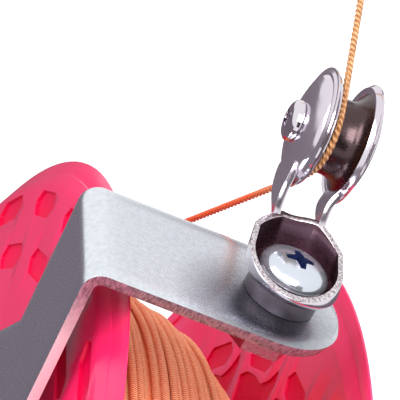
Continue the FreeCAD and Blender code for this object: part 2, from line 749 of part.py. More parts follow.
def free_line():
    """The taut line: a straight lead, the wrap round the pulley, and the tail to its knot."""
    radius = value("line_radius")
    route = [LINE_START] + wrap_corners() + [LINE_END]
    reach = (route[2] - route[1]).Length / 2
    arcs = [arc_in_corner(*route[i - 1:i + 2], reach) for i in (1, 2, 3)]
    lead = doc.addObject("Part::Feature", "lead_body")
    lead.Shape = tube(Part.Wire([Part.makeLine(LINE_START, arcs[0].StartPoint)]), radius)
    keep(lead, "line_lead")
    tail = Part.makeLine(arcs[-1].EndPoint, LINE_END)
    wrap = doc.addObject("Part::Feature", "wrap_body")
    wrap.Shape = tube(Part.Wire([arc.toShape() for arc in arcs] + [tail]), radius)
    keep(wrap, "line_over_pulley")
    print("free line radii", [round(arc.toShape().Curve.Radius, 2) for arc in arcs])
    end_loop(LINE_END, LINE_END - arcs[-1].EndPoint)


def end_loop(place, heading):
    """A knot and a small loop at the free end of the line."""
    heading.normalize()
    knot = doc.addObject("Part::Feature", "knot_body")
    long = value("knot_length")
    knot.Shape = Part.makeCylinder(value("tail_knot"), long, place, heading)
    keep(knot, "line_end_knot")
    radius, reach, thick = value("loop_radius"), value("loop_length"), value("line_radius")
    side = V(1, 0, 0)
    apart = side * (value("tail_knot") - thick)
    lean = math.asin((radius - apart.Length) / reach)
    foot = place + heading * (long + thick * math.sin(lean))
    centre = foot + heading * reach
    touch = side * (radius * math.cos(lean)) - heading * (radius * math.sin(lean))
    other = side * (-radius * math.cos(lean)) - heading * (radius * math.sin(lean))
    edges = [Part.makeLine(foot + apart, centre + touch),
             Part.Arc(centre + touch, centre + heading * radius, centre + other).toShape(),
             Part.makeLine(centre + other, foot - apart)]
    loop = doc.addObject("Part::Feature", "loop_body")
    loop.Shape = tube(Part.Wire(edges), thick)
    keep(loop, "line_end_loop")


# Swivelling pulley fork

def swivel_mount():
    """Spacer, screw, washer and nut that hold the fork on the arm."""
    at = ("swivel_x", "0", "0")
    spacer = new_body("spacer", at)
    revolve(spacer, [("swivel_radius", "arm_height"), ("spacer_radius", "arm_height"),
                     ("spacer_radius", "arm_height + spacer_height"),
                     ("swivel_radius", "arm_height + spacer_height")], "V_Axis")
    keep(spacer, "swivel_spacer")
    under = "arm_height - strip_thick"
    washer = new_body("under_washer", at)
    revolve(washer, [("swivel_radius", f"{under} - swivel_washer"),
                     ("swivel_washer_radius", f"{under} - swivel_washer"),
                     ("swivel_washer_radius", under), ("swivel_radius", under)], "V_Axis")
    keep(washer, "swivel_washer")
    nut_base = f"{under} - swivel_washer - swivel_nut"
    hex_nut("swivel_nut", "Z", ("swivel_x", "0", nut_base), "swivel_flats", "swivel_nut",
            "swivel_radius")
    screw = new_body("screw", at)
    revolve(screw, [("0", nut_base), ("swivel_radius", nut_base), ("swivel_radius", "head_base"),
                    ("swivel_head", "head_base"), ("swivel_head", "head_base + head_rim"),
                    ("swivel_head * 0.6", "head_base + head_rim + head_dome * 0.8"),
                    ("0", "head_base + head_rim + head_dome")], "V_Axis")
    cross = cross_recess("swivel", ("swivel_x", "0", "head_base + head_rim + head_dome"), "Z", True)
    keep(cut("swivel_screw_cut", screw, cross), "swivel_screw")


def fork_cup():
    """The fork's round cup: eight flats inside, a bored floor and a rim that rises to the back."""
    base = ("swivel_x", "0", "fork_base")
    blank = primitive("Cylinder", "cup_blank", "Z", base, {"Radius": "cup_radius", "Height": "cup_height"})
    well = primitive("Prism", "cup_well", "Z", ("swivel_x", "0", "fork_base + fork_sheet"),
                     {"Circumradius": "(cup_radius - fork_sheet) / cos(22.5 deg)", "Height": "cup_height"})
    well.Polygon = 8
    well.Placement = FreeCAD.Placement(well.Placement.Base, FreeCAD.Rotation(V(0, 0, 1), 22.5))
    bore = primitive("Cylinder", "cup_bore", "Z", base,
                     {"Radius": "swivel_radius + run_clearance", "Height": "cup_height"})
    slope = "(rim_slope * 1 deg)"
    trim = primitive("Box", "rim_trim", "Z",
                     ("swivel_x - 2 * cup_radius", f"0 - 2 * cup_radius * cos({slope})",
                      f"arm_height + rim_height - 2 * cup_radius * sin({slope})"),
                     {"Length": "4 * cup_radius", "Width": "4 * cup_radius", "Height": "2 * cup_height"})
    trim.Placement = FreeCAD.Placement(trim.Placement.Base, FreeCAD.Rotation(V(1, 0, 0), value("rim_slope")))
    return cut("cup", blank, joined("cup_tools", [well, bore, trim]))


def fork_leg(label, side):
    """A tapered strip from the cup's back to the middle of a cheek."""
    back, rise = value("pulley_back - leg_foot_back"), value("pulley_rise - leg_foot_rise")
    leg = doc.addObject("Part::Wedge", label)
    leg.Placement = FreeCAD.Placement(V(), FreeCAD.Rotation(V(1, 0, 0), math.degrees(math.atan2(rise, back))))
    for prop, text in {"Xmin": "0 - fork_sheet / 2", "Xmax": "fork_sheet / 2",
                       "X2min": "0 - fork_sheet / 2", "X2max": "fork_sheet / 2", "Ymin": "0",
                       "Ymax": "sqrt((pulley_back - leg_foot_back)^2 + (pulley_rise - leg_foot_rise)^2)"
                               " - cheek_flat",
                       "Zmin": "0 - leg_foot_half", "Zmax": "leg_foot_half",
                       "Z2min": "0 - leg_head_half", "Z2max": "leg_head_half",
                       "Placement.Base.x": f"swivel_x {side} leg_side",
                       "Placement.Base.y": "leg_foot_back",
                       "Placement.Base.z": "arm_height + leg_foot_rise"}.items():
        bind(leg, prop, text)
    return leg


def fork_cheek(label, side):
    """A dished disc beside the pulley, bored for the pin."""
    body = new_body(label, ("swivel_x", "pulley_back", "pulley_z"))
    sign = "0 - " if side == "-" else ""
    out, rim, floor = f"{sign}(cheek_out)", f"{sign}(cheek_rim)", f"{sign}(cheek_in)"
    revolve(body, [(rim, "cheek_radius"), (out, "cheek_flat"), (out, "pulley_pin"),
                   (floor, "pulley_pin"), (floor, "cheek_flat - fork_sheet / 2"),
                   (rim, "cheek_radius - fork_sheet * 1.2")])
    return body


def pulley_fork():
    """Cup, two legs and two cheeks, all one stamping."""
    parts = [fork_cup()]
    for name, side in (("left", "-"), ("right", "+")):
        parts += [fork_leg(name + "_leg", side), fork_cheek(name + "_cheek", side)]
    keep(joined("fork", parts), "pulley_fork")


def pulley():
    """Grooved wheel on its bush, with the pin and nut that hold it in the fork."""
    at = ("swivel_x", "pulley_back", "pulley_z")
    wheel = new_body("wheel", at)
    bore = "bush_radius + run_clearance"
    right = [("groove_half", "groove_radius"), ("groove_mouth", "pulley_radius"),
             ("pulley_half", "pulley_radius"), ("pulley_half", "hub_boss_radius"),
             ("hub_boss_half", "hub_boss_radius"), ("hub_boss_half", bore)]
    left = [(f"0 - {a}", b) for a, b in reversed(right)]
    revolve(wheel, left + right)
    keep(wheel, "pulley_wheel")
    bush = new_body("bush", at)
    revolve(bush, [("0 - (cheek_in)", "pulley_pin"), ("cheek_in", "pulley_pin"),
                   ("cheek_in", "bush_radius"), ("0 - (cheek_in)", "bush_radius")])
    keep(bush, "pulley_bush")
    pin = new_body("pin", at)
    face, back = "0 - (cheek_out)", "cheek_out + pin_nut"
    revolve(pin, [(f"{face} - pin_head_height", "0"), (back, "0"), (back, "pulley_pin"),
                  (face, "pulley_pin"), (face, "pin_head"),
                  (f"{face} - pin_head_height * 0.5", "pin_head"),
                  (f"{face} - pin_head_height", "pin_head * 0.6")])
    cross = cross_recess("pin", ("swivel_x - (cheek_out) - pin_head_height", "pulley_back", "pulley_z"),
                         "X", False)
    keep(cut("pin_cut", pin, cross), "pulley_pin")
    hex_nut("pulley_pin_nut", "X", ("swivel_x + (cheek_out)", "pulley_back", "pulley_z"),
            "pin_nut_flats", "pin_nut", "pulley_pin")


def build():
    """Makes every sub-part, checks it and writes it out."""
    fill_sheet()
    guide_bracket()
    locating_pins()
    handle()
    axle()
    ball_bearings()
    drum()
    drum_screws()
    flanges()
    hub_cap()
    crank_knob()
    line_core()
    line_winding()
    swivel_mount()
    pulley_fork()
    pulley()
    free_line()
    doc.recompute()
    for item in doc.Objects:
        if {"Invalid", "Error"} & set(item.State):
            raise ValueError(f"{item.Label} failed: {item.State}")
    for item in nodes:
        if item.Shape.isNull() or not item.Shape.isValid():
            raise ValueError(f"{item.Label} has no valid shape")
    os.makedirs("parts", exist_ok=True)
    for item in nodes:
        item.Shape.exportStep(os.path.join("parts", item.Label + ".step"))
    print(len(nodes), "nodes written")


build()
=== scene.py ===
import logging
import math
import random
from collections.abc import Callable
from dataclasses import dataclass
from enum import Enum

import bpy
import numpy as np
from mathutils import Matrix, Quaternion, Vector


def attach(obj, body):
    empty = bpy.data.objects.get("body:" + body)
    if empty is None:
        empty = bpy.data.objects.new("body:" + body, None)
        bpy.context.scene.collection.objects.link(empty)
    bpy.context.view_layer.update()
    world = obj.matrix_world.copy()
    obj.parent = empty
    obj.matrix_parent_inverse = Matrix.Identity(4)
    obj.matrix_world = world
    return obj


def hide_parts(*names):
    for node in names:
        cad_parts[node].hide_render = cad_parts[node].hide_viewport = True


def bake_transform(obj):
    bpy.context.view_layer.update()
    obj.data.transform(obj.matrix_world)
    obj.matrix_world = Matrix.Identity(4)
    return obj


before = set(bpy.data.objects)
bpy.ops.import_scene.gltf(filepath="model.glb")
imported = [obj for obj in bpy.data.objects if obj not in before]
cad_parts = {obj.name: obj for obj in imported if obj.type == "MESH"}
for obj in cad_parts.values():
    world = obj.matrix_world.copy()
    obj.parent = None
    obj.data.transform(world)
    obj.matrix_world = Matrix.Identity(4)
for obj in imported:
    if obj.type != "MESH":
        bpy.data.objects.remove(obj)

# Looks of a hand-held kite line winder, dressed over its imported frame.
# X runs along the axle from the grip to the crank knob, and Z up to the guide arm.
# Sizes are in millimetres and places are measured from the axle, unless a docstring says otherwise.

# Short names for the types that most functions take.
Piece = bpy.types.Object
Tree = bpy.types.NodeTree
Node = bpy.types.Node
Socket = bpy.types.NodeSocket
Profile = list[tuple[float, float]]

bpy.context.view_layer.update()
MM = 0.001
LOG = logging.getLogger("kite_line_winder")

# Driving places, read through the camera that was fitted to the photograph.
CAMERA_PLACE = Vector((-112.459, -429.640, 352.990))
CAMERA_AIM = Vector((17.3, -2.15, 128.46))
ARM_TOP = 117.0
ARM_END = 46.05
SWIVEL_ALONG = 36.05
REAR_LIP = 14.2
FRONT_LIP = 53.9
LINE_START = Vector((20, 74.6, 59.4))
LINE_END = Vector((34.6, 41.3, 156.6))

# The line's way round the pulley: its middle from the pulley's centre, its radius, and the
# angles where it meets and leaves the groove.
WRAP_SHIFT = Vector((-1.45, 0, -0.3))
WRAP_RADIUS = 6.6
WRAP_ANGLES = (222, 117)

# Crease angle of the round line, in degrees.
SOFT_CREASE = 80.0


class Axis(Enum):
    """An axis of the frame, as a unit vector."""

    X = (1.0, 0.0, 0.0)
    Y = (0.0, 1.0, 0.0)
    Z = (0.0, 0.0, 1.0)

    @property
    def vector(self) -> Vector:
        """The axis as a Blender vector."""
        return Vector(self.value)

    @property
    def turn(self) -> Quaternion:
        """The turn that lays a piece made along Z onto this axis."""
        return Axis.Z.vector.rotation_difference(self.vector)


class Body(Enum):
    """The bodies that the pieces made here move with."""

    FRAME = "frame"
    SWIVEL = "swivel"
    PULLEY = "pulley"
    SPOOL = "spool"


# Small helpers


def fractions(count: int, first: int = 0) -> list[float]:
    """Even fractions up to 1, of which the first may be left out."""
    return [i / count for i in range(first, count + 1)]


def linear(code: str) -> tuple[float, float, float, float]:
    """Turns an sRGB hex colour to Blender's linear colour.

    Args:
        code: Six hex digits, such as "E84A75".

    Returns:
        Linear red, green and blue, and full opacity.
    """
    parts = [int(code[i:i + 2], 16) / 255 for i in (0, 2, 4)]
    made = [p / 12.92 if p <= 0.04045 else ((p + 0.055) / 1.055) ** 2.4 for p in parts]
    return (*made, 1.0)


def add_node(tree: Tree, kind: str, settings: dict | None = None,
             links: dict | None = None) -> Node:
    """Adds a shader node with its settings and the links into it.

    Args:
        tree: The node tree.
        kind: Blender's type name of the node.
        settings: Attribute names, or input names or numbers, with their values.
        links: Input names or numbers with the output sockets that feed them.

    Returns:
        The new node.
    """
    node = tree.nodes.new(kind)
    for key, value in (settings or {}).items():
        if isinstance(key, int) or key in node.inputs:
            node.inputs[key].default_value = value
        else:
            setattr(node, key, value)
    for key, socket in (links or {}).items():
        tree.links.new(socket, node.inputs[key])
    return node


def ramped(tree: Tree, source: Socket, stops: list[tuple[float, str]]) -> Socket:
    """Colours a pattern through a ramp.

    Args:
        tree: The node tree.
        source: The pattern, from 0 to 1.
        stops: Places from 0 to 1 with their sRGB hex colours.

    Returns:
        The colour.
    """
    node = add_node(tree, "ShaderNodeValToRGB", {}, {"Fac": source})
    elements = node.color_ramp.elements
    while len(elements) < len(stops):
        elements.new(0.5)
    for element, (place, code) in zip(elements, stops):
        element.position = place
        element.color = linear(code)
    return node.outputs["Color"]


def ranged(tree: Tree, value: Socket, span: tuple[float, float],
           limits: tuple[float, float] = (0.0, 1.0)) -> Socket:
    """Maps a span of a number onto two limits and holds it between them."""
    names = ("From Min", "From Max", "To Min", "To Max")
    return add_node(tree, "ShaderNodeMapRange", dict(zip(names, span + limits)),
                    {"Value": value}).outputs[0]


def mixed(tree: Tree, share: Socket, first: Socket | str, second: Socket | str) -> Socket:
    """Mixes two colours, each an output or a hex colour, by the second one's share."""
    colours = {6: first, 7: second}
    plain = {key: linear(part) for key, part in colours.items() if isinstance(part, str)}
    links = {key: part for key, part in colours.items() if key not in plain}
    return add_node(tree, "ShaderNodeMix", {"data_type": "RGBA"} | plain,
                    {0: share} | links).outputs[2]


def reckon(tree: Tree, operation: str, *terms: Socket | float) -> Socket:
    """Works out a number from outputs and plain numbers."""
    plain = {spot: term for spot, term in enumerate(terms) if isinstance(term, (int, float))}
    links = {spot: term for spot, term in enumerate(terms) if spot not in plain}
    return add_node(tree, "ShaderNodeMath", {"operation": operation} | plain, links).outputs[0]


def start_material(name: str, settings: dict) -> tuple[bpy.types.Material, Node]:
    """Makes a material, sets inputs of its Principled shader and returns both."""
    made = bpy.data.materials.new(name)
    made.use_nodes = True
    shader = made.node_tree.nodes["Principled BSDF"]
    for key, value in settings.items():
        shader.inputs[key].default_value = value
    return made, shader


def deselect() -> None:
    """Leaves nothing selected."""
    if bpy.context.object and bpy.context.object.mode != "OBJECT":
        bpy.ops.object.mode_set(mode="OBJECT")
    bpy.ops.object.select_all(action="DESELECT")


def choose(piece: Piece) -> Piece:
    """Selects one piece alone and makes it active."""
    deselect()
    piece.select_set(True)
    bpy.context.view_layer.objects.active = piece
    return piece


def settle(piece: Piece) -> Piece:
    """Moves a piece's place, turn and size into its mesh."""
    choose(piece)
    bpy.ops.object.transform_apply(location=True, rotation=True, scale=True)
    return piece


def apply_modifier(piece: Piece, kind: str, **settings: object) -> Piece:
    """Adds a modifier with its settings and applies it.

    Args:
        piece: The piece to change.
        kind: Blender's type name of the modifier.
        **settings: The modifier's settings.

    Returns:
        The same piece.
    """
    choose(piece)
    modifier = piece.modifiers.new(kind.lower(), kind)
    for key, value in settings.items():
        setattr(modifier, key, value)
    bpy.ops.object.modifier_apply(modifier=modifier.name)
    return piece


def ease_edges(piece: Piece, width: float, segments: int = 2, angle: float = 35.0) -> Piece:
    """Rounds the sharp edges of a piece by a width in millimetres."""
    return apply_modifier(piece, "BEVEL", width=width * MM, segments=segments, limit_method="ANGLE",
                          angle_limit=math.radians(angle), harden_normals=False)


def carve(piece: Piece, cutter: Piece) -> Piece:
    """Cuts one piece with another, and removes the cutter."""
    apply_modifier(piece, "BOOLEAN", operation="DIFFERENCE", solver="EXACT", object=cutter,
                   material_mode="TRANSFER" if cutter.data.materials else "INDEX")
    bpy.data.objects.remove(cutter)
    return piece


def join(pieces: list[Piece], name: str) -> Piece:
    """Joins pieces into one object with a new name."""
    choose(pieces[0])
    for piece in pieces:
        piece.select_set(True)
    bpy.ops.object.join()
    made = bpy.context.object
    made.name = made.data.name = name
    return made


def smooth(piece: Piece, angle: float = 35.0) -> Piece:
    """Shades a piece smooth, with creases past an angle in degrees."""
    choose(piece)
    bpy.ops.object.shade_smooth_by_angle(angle=math.radians(angle))
    return piece


def face_outward(piece: Piece, weld: float = 0.0) -> Piece:
    """Turns a piece's faces outward, after merging points nearer than a weld in metres."""
    choose(piece)
    bpy.ops.object.mode_set(mode="EDIT")
    bpy.ops.mesh.select_all(action="SELECT")
    if weld:
        bpy.ops.mesh.remove_doubles(threshold=weld)
    bpy.ops.mesh.normals_make_consistent(inside=False)
    bpy.ops.object.mode_set(mode="OBJECT")
    return piece


def turned(name: str, profile: Profile, axis: Axis, centre: Vector,
           segments: int = 128, ring: bool = False) -> Piece:
    """Turns a profile round an axis, as on a lathe.

    A first circle is extruded from station to station and resized at each.

    Args:
        name: The piece's name.
        profile: Places along the axis and radii, in millimetres from the centre.
        axis: The axis that the piece turns about.
        centre: The centre in millimetres, in the frame.
        segments: Sides of each circle.
        ring: Whether the last circle joins the first, for a piece with a hole.

    Returns:
        The turned piece.
    """
    deselect()
    start, radius = profile[0]
    bpy.ops.mesh.primitive_circle_add(vertices=segments, radius=radius * MM,
                                      location=Vector((0, 0, start)) * MM)
    bpy.ops.object.mode_set(mode="EDIT")
    bpy.ops.mesh.select_all(action="SELECT")
    for (before, old), (after, new) in zip(profile, profile[1:]):
        bpy.ops.mesh.extrude_region_move(
            TRANSFORM_OT_translate={"value": (0, 0, (after - before) * MM)})
        bpy.ops.transform.resize(value=(new / old, new / old, 1),
                                 center_override=(0, 0, after * MM))
    bpy.ops.mesh.select_all(action="DESELECT")
    bpy.ops.mesh.select_non_manifold()
    if ring:
        bpy.ops.mesh.bridge_edge_loops()
    else:
        bpy.ops.mesh.edge_face_add()
    piece = face_outward(bpy.context.object)
    piece.name = piece.data.name = name
    piece.rotation_mode = "QUATERNION"
    settle(piece)
    piece.rotation_quaternion = axis.turn
    piece.location = centre * MM
    return settle(piece)


def prism(name: str, outline: Profile, axis: Axis, low: float, high: float,
          rounding: float = 0.0) -> Piece:
    """A flat outline given a thickness along an axis.

    Args:
        name: The piece's name.
        outline: Corners in millimetres, as the two other axes in X, Y, Z order.
        axis: The axis that the thickness runs along.
        low: Where it starts, in millimetres.
        high: Where it ends.
        rounding: Radius of its upright corners.

    Returns:
        The piece, as a closed mesh.
    """
    deselect()
    bpy.ops.mesh.primitive_circle_add(vertices=len(outline), radius=MM, fill_type="NGON")
    piece = bpy.context.object
    piece.name = piece.data.name = name
    spot = list(axis.value).index(1.0)
    for vertex, (a, b) in zip(piece.data.vertices, outline):
        place = [a * MM, b * MM]
        place.insert(spot, low * MM)
        vertex.co = place
    bpy.ops.object.mode_set(mode="EDIT")
    bpy.ops.mesh.select_all(action="SELECT")
    if rounding:
        bpy.ops.mesh.bevel(offset=rounding * MM, segments=4, affect="VERTICES")
        bpy.ops.mesh.select_all(action="SELECT")
    bpy.ops.mesh.extrude_region_move(
        TRANSFORM_OT_translate={"value": axis.vector * (high - low) * MM})
    return face_outward(piece)


def laid_grid(name: str, stations: int, across: int,
              place: Callable[[int, float], tuple[float, float, float]]) -> Piece:
    """A flat grid laid through places, station by station.

    Args:
        name: The piece's name.
        stations: Number of stations along it.
        across: Number of spaces across it.
        place: Gives a point for a station and a share across, from -0.5 to 0.5.

    Returns:
        The grid, with faces but no thickness.
    """
    deselect()
    bpy.ops.mesh.primitive_grid_add(x_subdivisions=stations - 1, y_subdivisions=across, size=1)
    piece = bpy.context.object
    piece.name = piece.data.name = name
    columns = sorted({round(vertex.co.x, 5) for vertex in piece.data.vertices})
    for vertex in piece.data.vertices:
        spot = place(columns.index(round(vertex.co.x, 5)), vertex.co.y)
        vertex.co = [part * MM for part in spot]
    return piece


def repeat_about(piece: Piece, axis: Axis, centre: Vector, angles: list[float], name: str) -> Piece:
    """Copies a piece round an axis and joins the copies.

    Args:
        piece: The piece to copy, which is used up.
        axis: The axis to turn about.
        centre: A point on the axis in millimetres.
        angles: Turns in degrees, by the right-hand rule.
        name: Name of the joined piece.

    Returns:
        The joined piece.
    """
    copies = []
    for angle in angles:
        copy = piece.copy()
        copy.data = piece.data.copy()
        bpy.context.scene.collection.objects.link(copy)
        turn = Matrix.Rotation(math.radians(angle), 4, axis.vector)
        middle = Matrix.Translation(centre * MM)
        copy.data.transform(middle @ turn @ middle.inverted())
        copies.append(copy)
    bpy.data.objects.remove(piece)
    return join(copies, name)


def dress(piece: Piece, *finishes: "Finish") -> Piece:
    """Gives a piece its finishes, in the order of its material slots."""
    for finish in finishes:
        piece.data.materials.append(finish.material())
    return piece


def place_piece(piece: Piece, body: Body, nodes: tuple[str, ...] = (),
                angle: float = 35.0) -> Piece:
    """Smooths a dressed piece, sets it on its body and hides the nodes that it stands for.

    Args:
        piece: The finished mesh.
        body: The body that it moves with.
        nodes: Names of the nodes that it replaces.
        angle: Crease angle in degrees.

    Returns:
        The same piece.
    """
    smooth(piece, angle)
    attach(piece, body.value)
    if nodes:
        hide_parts(*nodes)
    LOG.info("%s: %d faces", piece.name, len(piece.data.polygons))
    return piece


# Finishes


@dataclass(frozen=True)
class Finish:
    """A plain finish, which its kinds give a pattern.

    Attributes:
        name: The finish's name.
        colour: sRGB hex colour.
        metallic: How metallic it is.
        roughness: How rough it is.
        shine: How much it mirrors where it isn't metal.
    """

    name: str
    colour: str
    metallic: float = 0.0
    roughness: float = 0.5
    shine: float = 0.5

    def material(self) -> bpy.types.Material:
        """Makes the material, or finds the one made before."""
        found = bpy.data.materials.get(self.name)
        if found:
            return found
        made, shader = start_material(self.name, {
            "Base Color": linear(self.colour), "Metallic": self.metallic,
            "Roughness": self.roughness, "Specular IOR Level": self.shine})
        self.pattern(made.node_tree, shader)
        return made

    def pattern(self, tree: Tree, shader: Node) -> None:
        """Adds the finish's pattern to its shader."""

    def grain(self, tree: Tree, size: float, detail: float = 3.0,
              stretch: tuple[float, float, float] = (1, 1, 1)) -> Socket:
        """Adds a noise whose spots have a real size.

        Args:
            tree: The material's nodes.
            size: Size of a spot.
            detail: Octaves of finer spots.
            stretch: How much finer the noise is along each axis.

        Returns:
            The noise, from 0 to 1.
        """
        place = add_node(tree, "ShaderNodeTexCoord").outputs["Object"]
        scaled = add_node(tree, "ShaderNodeMapping", {"Scale": stretch}, {"Vector": place})
        return add_node(tree, "ShaderNodeTexNoise", {"Scale": 1 / (size * MM), "Detail": detail},
                        {"Vector": scaled.outputs[0]}).outputs["Fac"]

    def bump(self, tree: Tree, shader: Node, height: Socket, depth: float) -> None:
        """Raises the surface by a height pattern, which is as deep as it says."""
        raised = add_node(tree, "ShaderNodeBump", {"Distance": depth * MM}, {"Height": height})
        tree.links.new(raised.outputs["Normal"], shader.inputs["Normal"])

    def haze(self, tree: Tree, shader: Node, source: Socket, low: float, high: float) -> None:
        """Lets a pattern change the roughness between two limits."""
        middle = (0.35, 0.65)
        tree.links.new(ranged(tree, source, middle, (low, high)), shader.inputs["Roughness"])

    def tint(self, tree: Tree, shader: Node, colour: Socket) -> None:
        """Colours the surface by a pattern of colour."""
        tree.links.new(colour, shader.inputs["Base Color"])


@dataclass(frozen=True)
class MouldedPlastic(Finish):
    """Glossy injection-moulded ABS: it mirrors its surroundings a little, broken by orange peel.

    Attributes:
        deep: Colour where the clouds are darker.
    """

    deep: str = "C80038"

    def pattern(self, tree: Tree, shader: Node) -> None:
        """Adds cloudy colour and a fine orange peel."""
        clouds = self.grain(tree, 26)
        self.tint(tree, shader, ramped(tree, clouds, [(0.3, self.deep), (0.62, self.colour)]))
        self.bump(tree, shader, self.grain(tree, 0.9, detail=2), 0.012)


@dataclass(frozen=True)
class ZincPlate(Finish):
    """Satin zinc plate on rolled strip: a soft blurred mirror with fine speckle, and painted shade
    beside the swivel.

    Attributes:
        shade_middle: Middle of the patch of painted shade.
        near: Radius that is fully shaded.
        far: Radius where the patch ends.
        dull: Colour of the painted shade and dark reflection.
    """

    shade_middle: tuple[float, float, float] = (33.0, -7.0, 117.0)
    near: float = 5.0
    far: float = 15.0
    dull: str = "5C5A64"

    def pattern(self, tree: Tree, shader: Node) -> None:
        """Adds fine speckle, and a patch of painted shade and dark reflection beside the swivel."""
        speckle = self.grain(tree, 0.9, detail=5)
        plate = ramped(tree, speckle, [(0.3, "DDE2E9"), (0.6, self.colour)])
        # Painted shade: the plate darkens round the swivel, standing in for the spacer's shadow and
        # a dark reflection.
        place = add_node(tree, "ShaderNodeTexCoord").outputs["Object"]
        away = add_node(tree, "ShaderNodeVectorMath",
                        {"operation": "DISTANCE", 1: [part * MM for part in self.shade_middle]},
                        {0: place}).outputs["Value"]
        share = ranged(tree, away, (self.near * MM, self.far * MM), (0.8, 0.0))
        self.tint(tree, shader, mixed(tree, share, plate, self.dull))
        self.haze(tree, shader, speckle, self.roughness + 0.02, self.roughness - 0.02)


@dataclass(frozen=True)
class ShearedEdge(Finish):
    """The sheared edge of plated strip: short upright drag lines that break up what it mirrors,
    with a painted highlight on the leg's edge.

    Attributes:
        stretch: How much finer the drag lines are along each axis.
        dark: Colour between the drag lines.
        bright: Painted highlight on the leg's edge, below the bend.
        span: Heights between which the leg's painted highlight gives way to the arm's colour.
    """

    stretch: tuple[float, float, float] = (1.0, 1.0, 0.25)
    dark: str = "8A7A84"
    bright: str = "EEEEF2"
    span: tuple[float, float] = (104.0, 113.0)

    def pattern(self, tree: Tree, shader: Node) -> None:
        """Adds drag lines, and the painted highlight on the leg's edge."""
        lines = self.grain(tree, 0.3, detail=4, stretch=self.stretch)
        drawn = ramped(tree, lines, [(0.35, self.dark), (0.62, self.colour)])
        # Painted highlight: below the bend the edge turns bright, by height.
        place = add_node(tree, "ShaderNodeTexCoord").outputs["Object"]
        up = add_node(tree, "ShaderNodeSeparateXYZ", {}, {0: place}).outputs["Z"]
        share = ranged(tree, up, tuple(height * MM for height in self.span))
        self.tint(tree, shader, mixed(tree, share, self.bright, drawn))
        self.bump(tree, shader, lines, 0.012)


@dataclass(frozen=True)
class ChromePlate(Finish):
    """Nickel-chrome plate on pressed steel: a mirror with faint waves from the press."""

    def pattern(self, tree: Tree, shader: Node) -> None:
        """Adds the press's faint waves."""
        self.bump(tree, shader, self.grain(tree, 2.5, detail=2), 0.015)
        self.haze(tree, shader, self.grain(tree, 6, detail=3), self.roughness * 0.6,
                  self.roughness * 1.6)


@dataclass(frozen=True)
class TurnedSteel(Finish):
    """Turned or pressed plain steel: a blurred sheen with fine tool marks."""

    stretch: tuple[float, float, float] = (1.0, 1.0, 6.0)

    def pattern(self, tree: Tree, shader: Node) -> None:
        """Adds the tool's fine marks."""
        marks = self.grain(tree, 0.8, detail=4, stretch=self.stretch)
        self.bump(tree, shader, marks, 0.01)
        self.haze(tree, shader, marks, self.roughness - 0.05, self.roughness + 0.1)


@dataclass(frozen=True)
class GrainedPlastic(Finish):
    """Moulded nylon or closed-cell foam: matte, with a skin of pebbles of a size and a depth."""

    spot: float = 0.6
    depth: float = 0.04

    def pattern(self, tree: Tree, shader: Node) -> None:
        """Adds the pebbled skin."""
        skin = self.grain(tree, self.spot, detail=2)
        self.bump(tree, shader, skin, self.depth)
        self.haze(tree, shader, skin, self.roughness - 0.08, self.roughness + 0.08)


@dataclass(frozen=True)
class TwistedLine(Finish):
    """Three-strand twisted polyester line: soft fibres whose strands wind round in ridges, with
    painted shade between them and a painted highlight on top.

    Its UV map runs along the line in lays, and once round it.

    Attributes:
        shade: Painted shade between the strands.
        ridge_highlight: Painted highlight on the ridges.
        strands: Ridges that a full turn round the line crosses.
        relief: Height of the ridges.
    """

    shade: str = "B44A1E"
    ridge_highlight: str = "F0A468"
    strands: float = 3.0
    relief: float = 0.07

    def pattern(self, tree: Tree, shader: Node) -> None:
        """Adds the strands' ridges and their fibres, with painted shade and highlight."""
        shader.inputs["Sheen Weight"].default_value = 0.1
        lays, turns, _ = add_node(tree, "ShaderNodeSeparateXYZ", {},
                                  {0: add_node(tree, "ShaderNodeUVMap").outputs["UV"]}).outputs
        half = reckon(tree, "MULTIPLY", turns, self.strands / 2)
        phase = reckon(tree, "MULTIPLY_ADD", lays, self.strands, half)
        wave = reckon(tree, "SINE", reckon(tree, "MULTIPLY", phase, 2 * math.pi))
        ridges = reckon(tree, "MULTIPLY_ADD", wave, 0.36, 0.22)
        height = reckon(tree, "MULTIPLY_ADD", self.grain(tree, 0.5, detail=3), 0.56, ridges)
        # Painted shade low between the strands and a painted highlight high on the ridges, by their
        # height.
        stops = [(0.2, self.shade), (0.5, self.colour), (0.85, self.ridge_highlight)]
        self.tint(tree, shader, self.shade_along(tree, ramped(tree, height, stops), lays))
        self.bump(tree, shader, height, self.relief)

    def shade_along(self, tree: Tree, colour: Socket, lays: Socket) -> Socket:
        """The colour after any painted shade along the line."""
        return colour


@dataclass(frozen=True)
class ShadedLeadLine(TwistedLine):
    """Twisted line whose first stretch, out of the winding, is painted redder as shade and pink
    reflection.

    Attributes:
        lead_shade: Painted shade and pink reflection on the first stretch.
        turn: Lays from the start at which the colour changes.
    """

    lead_shade: str = "DE5426"
    turn: float = 30.0

    def shade_along(self, tree: Tree, colour: Socket, lays: Socket) -> Socket:
        """The colour, blended from the first stretch's painted shade to the tail's plain colour."""
        # Painted shade: the first stretch is redder, as if less lit and mirroring the pink spool.
        share = ranged(tree, lays, (self.turn - 3, self.turn + 2), (0.85, 0.0))
        return mixed(tree, share, colour, self.lead_shade)


PINK = MouldedPlastic("glossy_pink_abs", "EE2A64", roughness=0.2, deep="E41E58")
# A lighter copy of the pink plastic: painted light on the front flange.
PINK_PAINTED_LIGHT = MouldedPlastic("pink_abs_painted_light", "FF4480", roughness=0.2, deep="F82E6C")
# Recess floors: matte pink whose darker colour is painted shade.
FLOOR_PAINTED_SHADE = MouldedPlastic("matte_pink_abs_painted_shade", "E00046", roughness=0.5, shine=0.15, deep="D4003E")
ZINC = ZincPlate("satin_zinc_strip", "EAEFF6", 1.0, 0.27)
